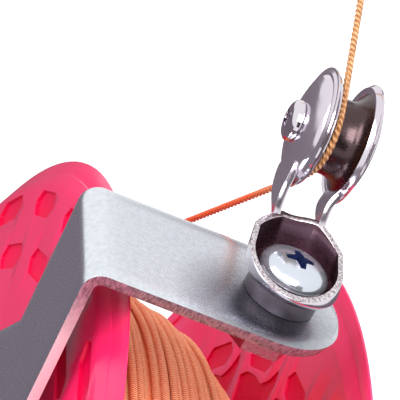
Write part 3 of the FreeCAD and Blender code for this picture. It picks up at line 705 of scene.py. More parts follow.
# The strip's cut edge: its mauve-pink colour is a painted pink reflection.
EDGE = ShearedEdge("sheared_zinc_edge", "A8909C", 0.5, 0.3, stretch=(1.0, 1.0, 0.3), dark="6C5864")
RIM_EDGE = ShearedEdge("sheared_chrome_rim", "ECE8EC", 1.0, 0.25, stretch=(1.0, 1.0, 1.0),
                       dark="A08C94")
CHROME = ChromePlate("nickel_chrome_plate", "E4DEE6", 1.0, 0.09)
SATIN = ChromePlate("satin_nickel_plate", "DCD4DE", 0.93, 0.13)
SCREW = ChromePlate("bright_zinc_screw", "D2D8E2", 0.82, 0.14)
# The pulley wheel: its dark brown colour is a painted dark reflection.
WHEEL_PAINTED_DARK = TurnedSteel("turned_wheel_painted_dark_reflection", "564648", 1.0, 0.22)
# The spacer ring: dull plate, its dark colour a painted dark reflection.
SPACER_PAINTED_DARK = TurnedSteel("dull_plate_painted_dark", "6E666E", 1.0, 0.42)
# The cup's inside: a darker copy of the chrome, painted shade.
CUP_INSIDE_PAINTED_SHADE = TurnedSteel("cup_inside_painted_shade", "6E525C", 1.0, 0.3)
STEEL = TurnedSteel("turned_bright_steel", "B4B4B8", 1.0, 0.28)
BRONZE = TurnedSteel("sintered_bronze", "A07A46", 1.0, 0.4)
# The screw's cross recess: its blue tint is painted shade and reflection.
CROSS_PAINTED_SHADE = TurnedSteel("cross_recess_painted_shade", "7080B0", 1.0, 0.35)
LINE = ShadedLeadLine("twisted_orange_line", "BC7E4C", roughness=0.62, shade="966034", ridge_highlight="DCA878")
WOUND = TwistedLine("wound_orange_line", "FF9258", roughness=0.66, shade="CC4A1C", ridge_highlight="FFCC98",
                    strands=6.0, relief=0.11)
NYLON = GrainedPlastic("black_glass_nylon", "17171A", roughness=0.45)
FOAM = GrainedPlastic("black_foam_grip", "1C1B1D", roughness=0.85, spot=0.9, depth=0.12)


# Cords


def resample(points: np.ndarray, step: float) -> np.ndarray:
    """Points at even steps along a path.

    Args:
        points: The path's points, in metres.
        step: Distance between points in metres.

    Returns:
        The evenly spaced points, both ends included.
    """
    spans = np.linalg.norm(np.diff(points, axis=0), axis=1)
    reached = np.concatenate([[0], np.cumsum(spans)])
    count = max(int(round(reached[-1] / step)), 2)
    marks = np.linspace(0, reached[-1], count + 1)
    return np.stack([np.interp(marks, reached, points[:, i]) for i in range(3)], axis=1)


def travelling_frames(points: np.ndarray) -> tuple[np.ndarray, np.ndarray]:
    """Two sideways directions at each point of a path, carried along without twist.

    Args:
        points: Evenly spaced points.

    Returns:
        The first and second sideways directions.
    """
    heading = np.gradient(points, axis=0)
    heading /= np.linalg.norm(heading, axis=1)[:, None]
    start = np.cross(heading[0], (1.0, 0.0, 0.0))
    if np.linalg.norm(start) < 0.1:
        start = np.cross(heading[0], (0.0, 1.0, 0.0))
    sides = [start / np.linalg.norm(start)]
    for i in range(1, len(points)):
        side = sides[-1] - heading[i] * np.dot(sides[-1], heading[i])
        sides.append(side / np.linalg.norm(side))
    first = np.array(sides)
    return first, np.cross(heading, first)


def tube_mesh(name: str, points: np.ndarray, radius: float, sides: int, lay: float) -> Piece:
    """A round tube along a path, with a UV map that runs along it in lays.

    Args:
        name: The piece's name.
        points: Evenly spaced points in metres.
        radius: The tube's radius in metres.
        sides: Sides of its section.
        lay: Length of one full twist in metres.

    Returns:
        The tube, closed at both ends.
    """
    first, second = travelling_frames(points)
    angles = np.linspace(0, 2 * math.pi, sides, endpoint=False)
    rings = (points[:, None, :] + radius * (np.cos(angles)[None, :, None] * first[:, None, :]
                                            + np.sin(angles)[None, :, None] * second[:, None, :]))
    count = len(points)
    faces = [(i * sides + j, i * sides + (j + 1) % sides, (i + 1) * sides + (j + 1) % sides,
              (i + 1) * sides + j) for i in range(count - 1) for j in range(sides)]
    caps = [tuple(range(sides))[::-1], tuple((count - 1) * sides + j for j in range(sides))]
    mesh = bpy.data.meshes.new(name)
    mesh.from_pydata(rings.reshape(-1, 3).tolist(), [], faces + caps)
    length = np.concatenate([[0], np.cumsum(np.linalg.norm(np.diff(points, axis=0), axis=1))]) / lay
    uv = mesh.uv_layers.new(name="UVMap")
    spots = [(length[i + a], (j + b) / sides) for i in range(count - 1) for j in range(sides)
             for a, b in ((0, 0), (0, 1), (1, 1), (1, 0))]
    spots += [(length[0], 0.0)] * sides + [(length[-1], 0.0)] * sides
    uv.data.foreach_set("uv", np.array(spots, np.float32).ravel())
    piece = bpy.data.objects.new(name, mesh)
    bpy.context.scene.collection.objects.link(piece)
    return face_outward(piece)


def route_points(route: list[Vector]) -> np.ndarray:
    """Points read from the smooth spline that a route controls.

    Args:
        route: Control points in metres.

    Returns:
        Points on the spline.
    """
    curve = bpy.data.curves.new("route", "CURVE")
    curve.dimensions = "3D"
    spline = curve.splines.new("NURBS")
    spline.points.add(len(route) - 1)
    for point, place in zip(spline.points, route):
        point.co = (*place, 1)
    spline.order_u = 3
    spline.use_endpoint_u = True
    spline.resolution_u = 48
    holder = bpy.data.objects.new("route", curve)
    bpy.context.scene.collection.objects.link(holder)
    bpy.context.view_layer.update()
    mesh = bpy.data.meshes.new_from_object(holder)
    points = np.array([vertex.co for vertex in mesh.vertices], float)
    bpy.data.objects.remove(holder)
    return points


@dataclass
class FreeLine:
    """The taut line from the winding, round the pulley and out to its knotted loop.

    Attributes:
        start: Where it leaves the winding, in millimetres.
        corners: Corners of its path round the pulley.
        end: Where its knot starts.
        diameter: The line's diameter.
        lay: Length of one full twist.
        give: Length before the pulley over which it follows the swivel; not used.
    """

    start: Vector
    corners: list[Vector]
    end: Vector
    diameter: float = 1.1
    lay: float = 3.3
    give: float = 25.0

    def route(self) -> list[Vector]:
        """Control points in metres, with one more beside the pulley on each long run."""
        near = 6 * self.diameter
        before = self.corners[0] + (self.start - self.corners[0]).normalized() * near
        after = self.corners[-1] + (self.end - self.corners[-1]).normalized() * near
        points = [self.start, before, *self.corners, after, self.end]
        return [point * MM for point in points]

    def build(self) -> None:
        step, count, sides, sparser = 0.25, 3, 8, 8
        thin = self.diameter / 4 * MM
        path = resample(route_points(self.route()), step * MM)
        first, second = travelling_frames(path)
        twists = np.arange(len(path)) * step / self.lay
        strands = []
        for number in range(count):
            angle = 2 * math.pi * (number / count - twists)
            offset = thin * (np.cos(angle)[:, None] * first + np.sin(angle)[:, None] * second)
            strands.append(tube_mesh(f"strand_{number}", path + offset, thin, sides,
                                     self.lay * MM))
        line = smooth(dress(join(strands, "free_line"), LINE), SOFT_CREASE)
        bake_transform(line)
        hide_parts("line_lead", "line_over_pulley")
        knot, loop = self.knot(), self.loop()

    def heading(self) -> Vector:
        """The direction of the line's tail."""
        return (self.end - self.corners[-1]).normalized()

    def tail(self, name: str, points: np.ndarray, radius: float, node: str) -> Piece:
        """Makes a piece of line at the tail's end, along points in metres."""
        piece = dress(tube_mesh(name, points, radius * MM, 10, self.lay * MM), LINE)
        return place_piece(piece, Body.SWIVEL, (node,), SOFT_CREASE)

    def knot(self) -> Piece:
        """Makes the knot, as three fat turns round the tail."""
        turns, reach, long = 3, 0.85 * MM, 2.6 * MM
        along, side = self.heading(), Axis.X.vector
        middle, up = (self.end + along * 2) * MM, along.cross(side)
        points = []
        for share in fractions(60):
            angle = 2 * math.pi * turns * share
            points.append(middle + along * (share - 0.5) * long + side * reach * math.cos(angle)
                          + up * reach * math.sin(angle))
        return self.tail("end_knot", np.array(points), 0.55, "line_end_knot")

    def loop(self) -> Piece:
        """Makes the loop beyond the knot."""
        along, side = self.heading() * MM, Axis.X.vector * MM
        start = self.end * MM + along * 4
        half = [(0.4, 0), (1.2, 3), (3.0, 7), (2.6, 10.5)]
        spread = [*half, (0, 11.6), *((-a, b) for a, b in reversed(half))]
        path = resample(route_points([start + side * a + along * b for a, b in spread]), 0.3 * MM)
        return self.tail("end_loop", path, 0.5, "line_end_loop")


@dataclass
class Winding:
    """The line wound on the drum, crowned towards the rear and settled into uneven turns.

    Attributes:
        rear: The rear wall's face along the axle, in millimetres.
        front: The front wall's face.
        crown: The winding's largest outer radius.
        shoulder: Where the winding starts to fall, from the rear wall.
        fall: How much it falls to the front wall.
        diameter: The line's diameter.
        pitch: Distance between turns.
        lay: Length of one full twist of the line.
    """

    rear: float
    front: float
    crown: float = 94.0
    shoulder: float = 11.8
    fall: float = 15.0
    diameter: float = 1.15
    pitch: float = 1.2
    lay: float = 3.3

    def radius(self, place: float) -> float:
        """Outer radius of the winding at a place along the axle."""
        top = self.rear + self.shoulder
        share = max(place - top, 0) / (self.front - top)
        return self.crown - self.fall * share ** 2

    def layer(self, name: str, start: float, turns: float, pitch: float, lift: float,
              wander: float, seed: int) -> Piece:
        """One layer of turns that wander a little from an even helix.

        Args:
            name: The layer's name.
            start: Place of its first turn along the axle.
            turns: Number of turns.
            pitch: Distance between turns, negative towards the rear.
            lift: How far the layer stands out from the crown, in millimetres.
            wander: Largest sideways drift in millimetres.
            seed: Seed of the drift.

        Returns:
            The layer as a tube.
        """
        dice = random.Random(seed)
        drifts = [(dice.uniform(0.5, 3.4), dice.uniform(0, 2 * math.pi)) for _ in range(4)]
        steps = 150
        low, high = self.rear + self.diameter / 2, self.front - self.diameter / 2
        points = []
        for i in range(int(turns * steps) + 1):
            turn = i / steps
            drift = sum(math.sin(2 * math.pi * turn * rate + phase) for rate, phase in drifts) / 4
            place = min(max(start + pitch * turn + wander * drift, low), high)
            rise = lift + 0.35 * math.sin(2 * math.pi * turn * 1.37 + seed)
            reach = self.radius(place) + rise - self.diameter / 2
            angle = 2 * math.pi * turn
            points.append((place * MM, reach * MM * math.sin(angle), reach * MM * math.cos(angle)))
        return tube_mesh(name, np.array(points), self.diameter / 2 * MM, 10, self.lay * MM)

    def build(self) -> None:
        """Winds the even layer, the loose turns over it and the filled core below."""
        width = self.front - self.rear - self.diameter
        start = self.rear + self.diameter / 2
        layers = [self.layer("even", start, turns=width / self.pitch, pitch=self.pitch,
                             lift=-0.2, wander=0.25, seed=3),
                  self.layer("loose", start + 3, turns=5, pitch=5.4, lift=0.45, wander=1.2,
                             seed=11)]
        wound = dress(join(layers, "wound_line"), WOUND)
        place_piece(wound, Body.SPOOL, ("line_winding",), SOFT_CREASE)
        drum, sunk = 60.0, 1.1
        stations = [self.rear + (self.front - self.rear) * share for share in fractions(24)]
        surface = [(place, self.radius(place) - sunk) for place in stations]
        core = turned("wound_core", [(self.rear, drum), *surface, (self.front, drum)], Axis.X,
                      Vector(), 160, ring=True)
        place_piece(dress(core, WOUND), Body.SPOOL, ("line_core",))


# Spool


@dataclass
class Flange:
    """One flange: an outer cover with rings of slots, and a wall on the line's side.

    Attributes:
        name: "rear" or "front".
        lip: The flange's lip along the axle.
        way: Direction from the lip to the outside, 1 or -1.
        rings: Radii of the cover's rings of slots.
        finish: The finish of both halves.
        radius: Radius of the lip.
        crest: Radius of the shoulder's outer end.
        depth: How far out the shoulder reaches.
        skin: Thickness of the cover over the hub.
        wall: Thickness of the wall.
        seat: Radius of the cover's seat for the wall.
        hub: Radius of the wall's hole.
        dust_hole: Radius of the cover's hole.
        cover_slots: Number of slots in each ring of the cover.
        cover_turn: Angle of the first of them from Z towards Y, in degrees.
        wall_ring: Radius of the wall's ring of slots.
        wall_slots: Number of slots and of flames in the wall.
        wall_turn: Angle of the first of them.
        knob_reach: How far from the axle the crank knob's boss stands.
        boss: The boss's start and end along the axle, its bore and its radius.
    """

    name: str
    lip: float
    way: int
    rings: tuple[float, ...]
    finish: Finish
    radius: float = 112.0
    crest: float = 106.2
    depth: float = 3.4
    skin: float = 0.9
    wall: float = 1.1
    seat: float = 108.6
    hub: float = 18.0
    dust_hole: float = 10.0
    cover_slots: int = 28
    cover_turn: float = 30.2
    wall_ring: float = 92.3
    wall_slots: int = 24
    wall_turn: float = 13.6
    knob_reach: float = 80.0
    boss: tuple[float, float, float, float] = (56.4, 62.0, 3.0, 9.0)

    def along(self, out: float) -> float:
        """A place along the axle, given how far out from the lip it lies."""
        return self.lip + self.way * out

    def slot(self, ring: float) -> Profile:
        """A slot at the top of a ring, pointed at both ends, as corners in Y and Z."""
        tip, shoulder, half = 7.0, 4.7, 2.2
        return [(-tip, ring), (-shoulder, ring - half), (shoulder, ring - half), (tip, ring),
                (shoulder, ring + half), (-shoulder, ring + half)]

    def flame(self) -> Profile:
        """A flame-shaped cut-out below a slot, whose tongue rises beside it."""
        polar = [(88.4, 5.4), (89.2, 3.0), (89.0, 0.0), (88.2, -3.0), (89.6, -5.2), (92.3, -7.2),
                 (90.0, -7.9), (84.0, -7.0), (76.0, -4.8), (66.0, -1.5), (66.0, 1.5), (75.0, 3.6),
                 (84.0, 5.2)]
        return [(r * math.sin(math.radians(a)), r * math.cos(math.radians(a))) for r, a in polar]

    def recess(self, piece: Piece, outline: Profile, count: int, turn: float,
               depth: tuple[float, float]) -> None:
        """Sinks a ring of recesses with a matte floor painted darker as shade.

        Args:
            piece: The cover or the wall.
            outline: One recess's outline in Y and Z, at the top of its ring.
            count: How many stand round the ring.
            turn: The first one's angle from Z towards Y, in degrees.
            depth: Where the recesses start and end, out from the lip.
        """
        low, high = sorted(self.along(out) for out in depth)
        # The cutter's finish, with its painted shade, passes to the recess floors.
        one = dress(prism("cutter", outline, Axis.X, low, high, 0.5), FLOOR_PAINTED_SHADE)
        angles = [-(turn + 360 * i / count) for i in range(count)]
        carve(piece, repeat_about(one, Axis.X, Vector(), angles, "cutters"))

    def half(self, part: str, profile: Profile) -> Piece:
        """Turns one half of the flange, from places out from the lip and radii."""
        places = [(self.along(out), reach) for out, reach in profile]
        made = turned(f"{self.name}_{part}", places, Axis.X, Vector(), 180, ring=True)
        return dress(made, self.finish)

    def close(self, piece: Piece, part: str) -> None:
        """Eases the edges of one half and sets it on the spool."""
        ease_edges(piece, 0.1)
        place_piece(piece, Body.SPOOL, (f"{self.name}_flange_{part}",), 30)

    def cover(self) -> None:
        """Makes the outer cover: a sloping shoulder with a fine bead, a crest and a slotted web."""
        drop = (self.radius - self.crest) / self.depth
        bead = ((0.3, 0.05), (1.5, 0.02), (1.62, 0.2), (1.8, 0.2), (1.95, 0.02), (2.7, 0.03))
        lip = [(0.0, self.radius - 0.8), (0.1, self.radius - 0.55)]
        slope = [(out, self.radius - drop * out - sunk) for out, sunk in bead]
        crest = [(3.0, self.crest + 0.5), (3.2, self.crest - 0.1), (3.3, self.crest - 1.0)]
        face = self.wall + self.skin
        web = [(3.3, 102.0), (3.1, 86.0), (2.9, 72.0), (face, 64.0), (face, self.dust_hole)]
        inner = [(self.wall, self.dust_hole), (self.wall, self.seat), (0.0, self.seat)]
        cover = self.half("cover", lip + slope + crest + web + inner)
        for place, ring in enumerate(self.rings):
            turn = self.cover_turn + place * 180 / self.cover_slots
            self.recess(cover, self.slot(ring), self.cover_slots, turn, depth=(2.75, 6))
        if self.way > 0:
            low, high, bore, wide = self.boss
            eased = [(low, bore), (low, wide), (high - 0.3, wide), (high, wide - 0.3), (high, bore)]
            boss = turned("knob_boss", eased, Axis.X, Vector((0, 0, -self.knob_reach)), 64,
                          ring=True)
            cover = join([cover, dress(boss, self.finish)], f"{self.name}_cover")
        self.close(cover, "cover")

    def inner_wall(self) -> None:
        """Makes the wall that the line lies against, with a raised rim band."""
        edge, band = self.seat - 0.1, 104.1
        face = [(0.2, self.hub), (0.2, band - 0.5), (0.02, band), (0.02, band + 0.5),
                (0.3, edge - 0.2), (0.5, edge)]
        wall = self.half("wall", face + [(self.wall, edge), (self.wall, self.hub)])
        outlines = [self.flame(), self.slot(self.wall_ring)] if self.way > 0 else [self.flame()]
        for outline in outlines:
            self.recess(wall, outline, self.wall_slots, self.wall_turn, depth=(-1, 0.6))
        self.close(wall, "wall")

    def build(self) -> None:
        """Makes both halves of the flange."""
        self.cover()
        self.inner_wall()


# Bracket


@dataclass
class Bracket:
    """The zinc-plated strip that rises from the axle, bends over the spool and carries the pulley.

    Attributes:
        width: Width of the strip.
        thick: Its thickness.
        leg: The leg's outer face under the bend.
        foot: The leg's outer face below the lean.
        drop: Height of the leaning stretch.
        plate: Radius of the round plate at the axle.
        bend: Outer radius of the bend.
        corner: Radius of the arm's corners.
        swivel_hole: Radius of the swivel's hole.
        axle_hole: Radius of the axle's hole.
        rollover: How far from its edge the strip is rolled over by the shears.
        rolled: How far it is rolled over at the edge.
    """

    width: float = 25.0
    thick: float = 1.8
    leg: float = 4.7
    foot: float = 5.8
    drop: float = 27.0
    plate: float = 26.0
    bend: float = 3.3
    corner: float = 11.0
    swivel_hole: float = 3.1
    axle_hole: float = 5.1
    rollover: float = 2.6
    rolled: float = 0.3

    def stations(self) -> list[tuple[float, float, float, float, float]]:
        """Stations down the outer face: along, up, the normal's two parts and half the width."""
        half, tip = self.width / 2, self.leg + self.bend
        low, spread = ARM_TOP - self.drop, self.plate - self.width / 2
        lean, quarter = math.atan2(self.foot - self.leg, self.drop), math.pi / 2
        found = []
        for share in fractions(14):
            turn = quarter * share
            found.append((ARM_END - self.corner * (1 - math.cos(turn)), ARM_TOP, 0.0, 1.0,
                          half - self.corner * (1 - math.sin(turn))))
        start = ARM_END - self.corner
        for share in fractions(12, 1)[:-1]:
            found.append((start + (tip - start) * share, ARM_TOP, 0.0, 1.0, half))
        for share in fractions(10):
            out, up = -math.sin(quarter * share), math.cos(quarter * share)
            found.append((tip + self.bend * out, ARM_TOP - self.bend + self.bend * up, out, up,
                          half))
        for share in fractions(8, 1):
            found.append((self.leg + (self.foot - self.leg) * share,
                          ARM_TOP - self.bend - (self.drop - self.bend) * share,
                          -math.cos(lean), math.sin(lean), half))
        for share in fractions(9, 1):
            found.append((self.foot, low - spread * share, -1.0, 0.0, half + spread * share))
        for share in fractions(8, 1):
            found.append((self.foot, (low - spread) * (1 - share), -1.0, 0.0, self.plate))
        lowest = quarter * 16 / 16.5
        for share in fractions(16, 1):
            found.append((self.foot, -self.plate * math.sin(lowest * share), -1.0, 0.0,
                          self.plate * math.cos(lowest * share)))
        return found

    def build(self) -> None:
        """Lays the strip along its stations, thickens it and eases its edges."""
        stations = self.stations()

        def place(spot: int, share: float) -> tuple[float, float, float]:
            """A point of the outer face, rolled over near the strip's edge."""
            x, z, out_x, out_z, half = stations[spot]
            y = 2 * share * half
            sunk = self.rolled * max(1 - (half - abs(y)) / self.rollover, 0) ** 2
            return x - out_x * sunk, y, z - out_z * sunk

        strip = face_outward(laid_grid("guide_strip", len(stations), across=48, place=place),
                             weld=0.01 * MM)
        arm_face = max(strip.data.polygons, key=lambda face: face.center.x)
        if arm_face.normal.z < 0:
            strip.data.flip_normals()
        dress(strip, ZINC, EDGE)
        apply_modifier(strip, "SOLIDIFY", thickness=self.thick * MM, offset=-1,
                       use_even_offset=True, material_offset_rim=1)
        for low, high, radius, axis, along in (
                (ARM_TOP - 5, ARM_TOP + 5, self.swivel_hole, Axis.Z, SWIVEL_ALONG),
                (-5, 15, self.axle_hole, Axis.X, 0)):
            carve(strip, turned("bore", [(low, radius), (high, radius)], axis,
                                Vector((along, 0, 0)), 48))
        ease_edges(strip, 0.22, 3, 50)
        place_piece(strip, Body.FRAME, ("guide_bracket",), 40)


# Swivelling pulley


@dataclass
class PulleyFork:
    """The pressed fork that turns on the arm: spacer, screw, cup, legs, cheeks, pulley and pin.

    Attributes:
        back: How far the pulley stands back from the swivel's axis.
        rise: How far it stands over the arm.
        sheet: Thickness of the pressed sheet.
        bore: Radius of the swivel's bore.
        spacer_size: Radius and height of the ring under the fork.
        screw_radius: Radius of the screw's head.
        cup_radius: Radius of the cup at its foot.
        cup_base: Height of its underside over the arm.
        rim_height: Height of its rim beside the swivel's axis.
        rim_slope: How much the rim rises towards the pulley.
        rim_shift: How far the rim leans towards the rear.
        cheek_radius: Radius of the cheeks.
        cheek_rim: Distance of their rims from the pulley's middle plane.
        cheek_depth: How far their centres stand out from the rims.
        wheel_radius: Radius of the pulley's rims.
        groove: Radius of the bottom of its groove.
    """

    back: float = 16.2
    rise: float = 20.2
    sheet: float = 1.1
    bore: float = 3.05
    spacer_size: tuple[float, float] = (5.8, 3.0)
    screw_radius: float = 5.5
    cup_radius: float = 7.75
    cup_base: float = 3.1
    rim_height: float = 7.9
    rim_slope: float = 0.39
    rim_shift: float = 0.8
    cheek_radius: float = 9.6
    cheek_rim: float = 3.8
    cheek_depth: float = 2.3
    wheel_radius: float = 8.2
    groove: float = 6.0

    @property
    def swivel_axis(self) -> Vector:
        """Where the swivel's axis meets the arm's top face."""
        return Vector((SWIVEL_ALONG, 0, ARM_TOP))

    @property
    def hub(self) -> Vector:
        """The pulley's centre."""
        return Vector((SWIVEL_ALONG, self.back, ARM_TOP + self.rise))

    @property
    def face(self) -> float:
        """Distance of the cheeks' outer faces from the pulley's middle plane."""
        return self.cheek_rim + self.cheek_depth

    def spacer(self) -> None:
        """Makes the plain ring under the fork."""
        radius, height = self.spacer_size
        profile = [(0, self.bore), (0, radius), (height, radius), (height, self.bore)]
        ring = turned("swivel_ring", profile, Axis.Z, self.swivel_axis, 96, ring=True)
        # The ring's dark colour is a painted dark reflection.
        ease_edges(dress(ring, SPACER_PAINTED_DARK), 0.18)
        place_piece(ring, Body.FRAME, ("swivel_spacer",))

    def cross(self, place: Vector, axis: Axis, reach: float, arm: float, depth: float,
              turn: float) -> Piece:
        """A cross-shaped cutter whose arms narrow towards their ends and its foot.

        Args:
            place: Centre of its mouth.
            axis: The screw's axis.
            reach: Length of an arm.
            arm: Width of an arm.
            depth: How deep it sinks, away from the axis's direction.
            turn: Its turn about the axis in degrees.

        Returns:
            The cutter.
        """
        tip, root, foot = 0.4 * arm, 0.75 * arm, 0.7
        outline = []
        for quarter in range(4):
            angle = math.radians(90 * quarter + turn)
            for a, b in ((reach, -tip), (reach, tip), (root, root)):
                outline.append((a * math.cos(angle) - b * math.sin(angle),
                                a * math.sin(angle) + b * math.cos(angle)))
        cutter = prism("cross", outline, Axis.Z, -depth, depth * 2)
        for vertex in cutter.data.vertices:
            if vertex.co.z < 0:
                vertex.co.xy = vertex.co.xy * foot
        cutter.rotation_mode = "QUATERNION"
        cutter.rotation_quaternion = axis.turn
        cutter.location = place * MM
        return settle(cutter)

    def screw(self) -> None:
        """Makes the domed swivel screw with its cross recess."""
        base, wide = self.cup_base + self.sheet + 0.1, self.screw_radius
        rise, tip = 2.1, 0.05
        dome = [(base, tip), (base, wide - 0.2), (base + 0.25, wide), (base + 0.9, wide)]
        dome += [(base + 1.0 + rise * math.sin(a), (wide - 0.15) * math.cos(a) + tip)
                 for a in (math.radians(6 + 14 * i) for i in range(7))]
        head = dress(turned("swivel_screw_head", dome, Axis.Z, self.swivel_axis, 96), SCREW)
        mouth = self.swivel_axis + Vector((0, 0, base + 3.0))
        recess = self.cross(mouth, Axis.Z, reach=2.9, arm=1.35, depth=2.2, turn=8)
        # The cross recess takes a blue finish that is painted shade and reflection.
        carve(head, dress(recess, CROSS_PAINTED_SHADE))
        end, thread = -7.8, 2.9
        shank = turned("swivel_screw_shank", [(end, thread), (base, thread)], Axis.Z,
                       self.swivel_axis, 48)
        screw = join([head, dress(shank, STEEL)], "swivel_screw_dressed")
        place_piece(screw, Body.FRAME, ("swivel_screw",))

    def cup_wall(self, angle: float) -> float:
        """The wall's share of its radius at an angle, eight-sided only towards the pulley."""
        step, most, onset = math.pi / 4, 0.65, 0.6
        beside = (angle + step / 2) % step - step / 2
        flat = math.cos(step / 2) / math.cos(beside)
        share = most * min(max(math.sin(angle) * 2 + onset, 0), 1)
        return 1 + share * (flat - 1)

    def cup(self) -> Piece:
        """Makes the eight-sided cup with its slanted rim and its inside painted dark as shade."""
        outer, inner, bore = self.cup_radius, self.cup_radius - 0.8, self.bore + 0.01
        base, floor = self.cup_base, self.cup_base + self.sheet
        skirt, top = base + 0.8, 8.0
        round_to, hurry = 4.0, 1.6
        dip_depth, dip_middle, dip_width = 0.9, -1.5, 3.0
        outside = [(base, bore), (base, outer - 1.4), (base + 0.2, outer - 0.8),
                   (skirt, outer - 0.25), (base + 1.6, outer), (6.0, outer + 0.1),
                   (7.0, outer + 0.15), (top, outer + 0.15)]
        inside = [(top, inner), (7.0, inner), (6.0, inner), (floor + 0.6, inner - 0.1),
                  (floor, inner - 0.7), (floor, bore)]
        cup = turned("fork_cup", outside + inside, Axis.Z, self.swivel_axis, 96, ring=True)
        dress(cup, CHROME, CUP_INSIDE_PAINTED_SHADE, RIM_EDGE)
        for vertex in cup.data.vertices:
            spot = vertex.co / MM - self.swivel_axis
            sided = spot.xy.length > round_to
            wide = self.cup_wall(math.atan2(spot.y, spot.x)) if sided else 1.0
            share = max(spot.z - skirt, 0) / (top - skirt)
            shaped = 1 + (wide - 1) * min(share * hurry, 1)
            y = spot.y * shaped
            across = (spot.x - dip_middle) / dip_width
            dip = dip_depth * math.exp(-across ** 2) if y > round_to else 0.0
            rim = self.rim_height + self.rim_slope * y - dip
            x, z = spot.x * shaped - self.rim_shift * share, min(spot.z, skirt)
            vertex.co = (self.swivel_axis + Vector((x, y, z + share * (rim - skirt)))) * MM
        for face in cup.data.polygons:
            spot = face.center / MM - self.swivel_axis
            outward = face.normal.xy.dot(spot.xy.normalized())
            if face.normal.z > 0.8 and spot.xy.length > inner - 0.6:
                face.material_index = 2
            # Painted shade: the inner faces take the dark inside finish.
            elif spot.z > base + 0.5 and (outward < -0.2 or face.normal.z > 0.5):
                face.material_index = 1
        return ease_edges(cup, 0.14, 2, 50)

    def leg(self, side: int) -> Piece:
        """Makes one leg, as a bent strip that widens from the cup's rim into the cheek.

        Args:
            side: 1 for the front leg, -1 for the rear one.

        Returns:
            The leg.
        """
        backs = ((6.6, 8.4), (7.6, 9.8), (9.8, 10.0), (12.4, 10.4), (14.7, 11.3), (16.4, 12.8))
        fronts = ((5.5, 8.4), (6.1, 10.8), (7.1, 12.3), (8.1, 13.9), (8.8, 15.5), (9.7, 17.4))
        reach = {1: (2.6, 2.4, 2.3, 2.4, 3.4, 4.5), -1: (-4.4, -5.0, -5.1, -5.0, -4.8, -4.6)}[side]
        inset = [part * max(side, 0.65) for part in (0.9, 0.4, 0, 0, 0, 0)]

        def place(spot: int, share: float) -> Vector:
            """A point between the leg's back and front edges."""
            y, z = Vector(backs[spot]).lerp(Vector(fronts[spot]), share + 0.5)
            return self.swivel_axis + Vector((reach[spot], y + inset[spot], z))

        leg = laid_grid("fork_leg", len(backs), across=6, place=place)
        apply_modifier(leg, "SUBSURF", levels=2, render_levels=2)
        apply_modifier(leg, "SOLIDIFY", thickness=self.sheet * MM, offset=0, use_even_offset=True)
        return ease_edges(dress(leg, SATIN), 0.16, 2, 50)

    def cheek(self, side: int) -> Piece:
        """Makes one dished cheek with a groove and a bead inside its rolled edge.

        Args:
            side: 1 for the front cheek, -1 for the rear one.

        Returns:
            The cheek.
        """
        radius, sheet, rim = self.cheek_radius, self.sheet, self.cheek_rim
        dome = [(self.face - self.cheek_depth * (r / radius) ** 2.3, r)
                for r in (1.6, 3.0, 4.5, 5.8, 6.8, 7.6, 8.0)]
        low = dome[-1][0]
        dome += [(low - 0.42, 8.3), (low - 0.4, 8.55), (low - 0.42, 8.8), (low - 0.7, 9.2)]
        edge = [(rim + 0.05, radius), (rim - 0.25, radius + 0.02), (rim - 0.4, radius - 0.3)]
        inside = [(a - sheet, b - 0.25) for a, b in reversed(dome[1:])]
        profile = [(side * a, b) for a, b in dome + edge + inside + [(self.face - sheet, 1.6)]]
        return dress(turned("fork_cheek", profile, Axis.X, self.hub, 128, ring=True), SATIN)

    def fork(self) -> None:
        """Joins the cup, both legs and both cheeks as one pressing."""
        parts = [self.cup()]
        for side in (-1, 1):
            parts += [self.leg(side), self.cheek(side)]
        fork = join(parts, "fork_pressing")
        place_piece(fork, Body.SWIVEL, ("pulley_fork",), 40)

    def wheel(self) -> None:
        """Makes the grooved wheel."""
        bottom, rim, width = self.groove, self.wheel_radius, 3.6
        hub_radius, hub_width, bore = 3.6, 4.8, 2.66
        side = [(0.0, bottom), (0.9, bottom + 0.02), (1.8, bottom + 0.25), (2.5, bottom + 0.9),
                (2.95, bottom + 1.7), (3.15, rim - 0.1), (3.35, rim), (width, rim - 0.15),
                (width, hub_radius), (hub_width, hub_radius), (hub_width, bore)]
        profile = [(-a, b) for a, b in reversed(side[1:])] + side
        wheel = turned("pulley_wheel_dressed", profile, Axis.X, self.hub, 128, ring=True)
        # The wheel's dark finish is a painted dark reflection.
        place_piece(dress(wheel, WHEEL_PAINTED_DARK), Body.PULLEY, ("pulley_wheel",))

    def pin(self) -> None:
        """Makes the pulley's screw pin with its head and recess."""
        face = -self.face
        head = [(face + 0.1, 0.05), (face + 0.1, 3.2), (face - 0.15, 3.3), (face - 0.8, 3.2),
                (face - 1.2, 2.7), (face - 1.45, 1.9), (face - 1.6, 0.9), (face - 1.62, 0.05)]
        pin = turned("pin_head", head, Axis.X, self.hub, 64)
        mouth = self.hub + Vector((face - 1.6, 0, 0))
        carve(pin, self.cross(mouth, Axis.X, reach=1.9, arm=0.9, depth=0.9, turn=35))
        ease_edges(pin, 0.08, 2, 30)
        shank = turned("pin_shank", [(face, 1.55), (0.2 - face, 1.55)], Axis.X, self.hub, 32)
        pin = dress(join([pin, shank], "pulley_pin_dressed"), CHROME)
        place_piece(pin, Body.SWIVEL, ("pulley_pin",))

    def nut(self) -> None:
        """Makes the low round nut that closes the pin."""
        face, bore, radius = self.face, 1.7, 2.2
        profile = [(face - 1.0, bore), (face - 1.0, radius), (face + 0.05, radius),
                   (face + 0.25, radius - 0.2), (face + 0.25, bore)]
        nut = turned("pin_nut_dressed", profile, Axis.X, self.hub, 48, ring=True)
        place_piece(dress(nut, CHROME), Body.SWIVEL, ("pulley_pin_nut",))

    def build(self) -> None:
        """Makes every piece of the guide."""
        for make in (self.spacer, self.screw, self.fork, self.wheel, self.pin, self.nut):
            make()


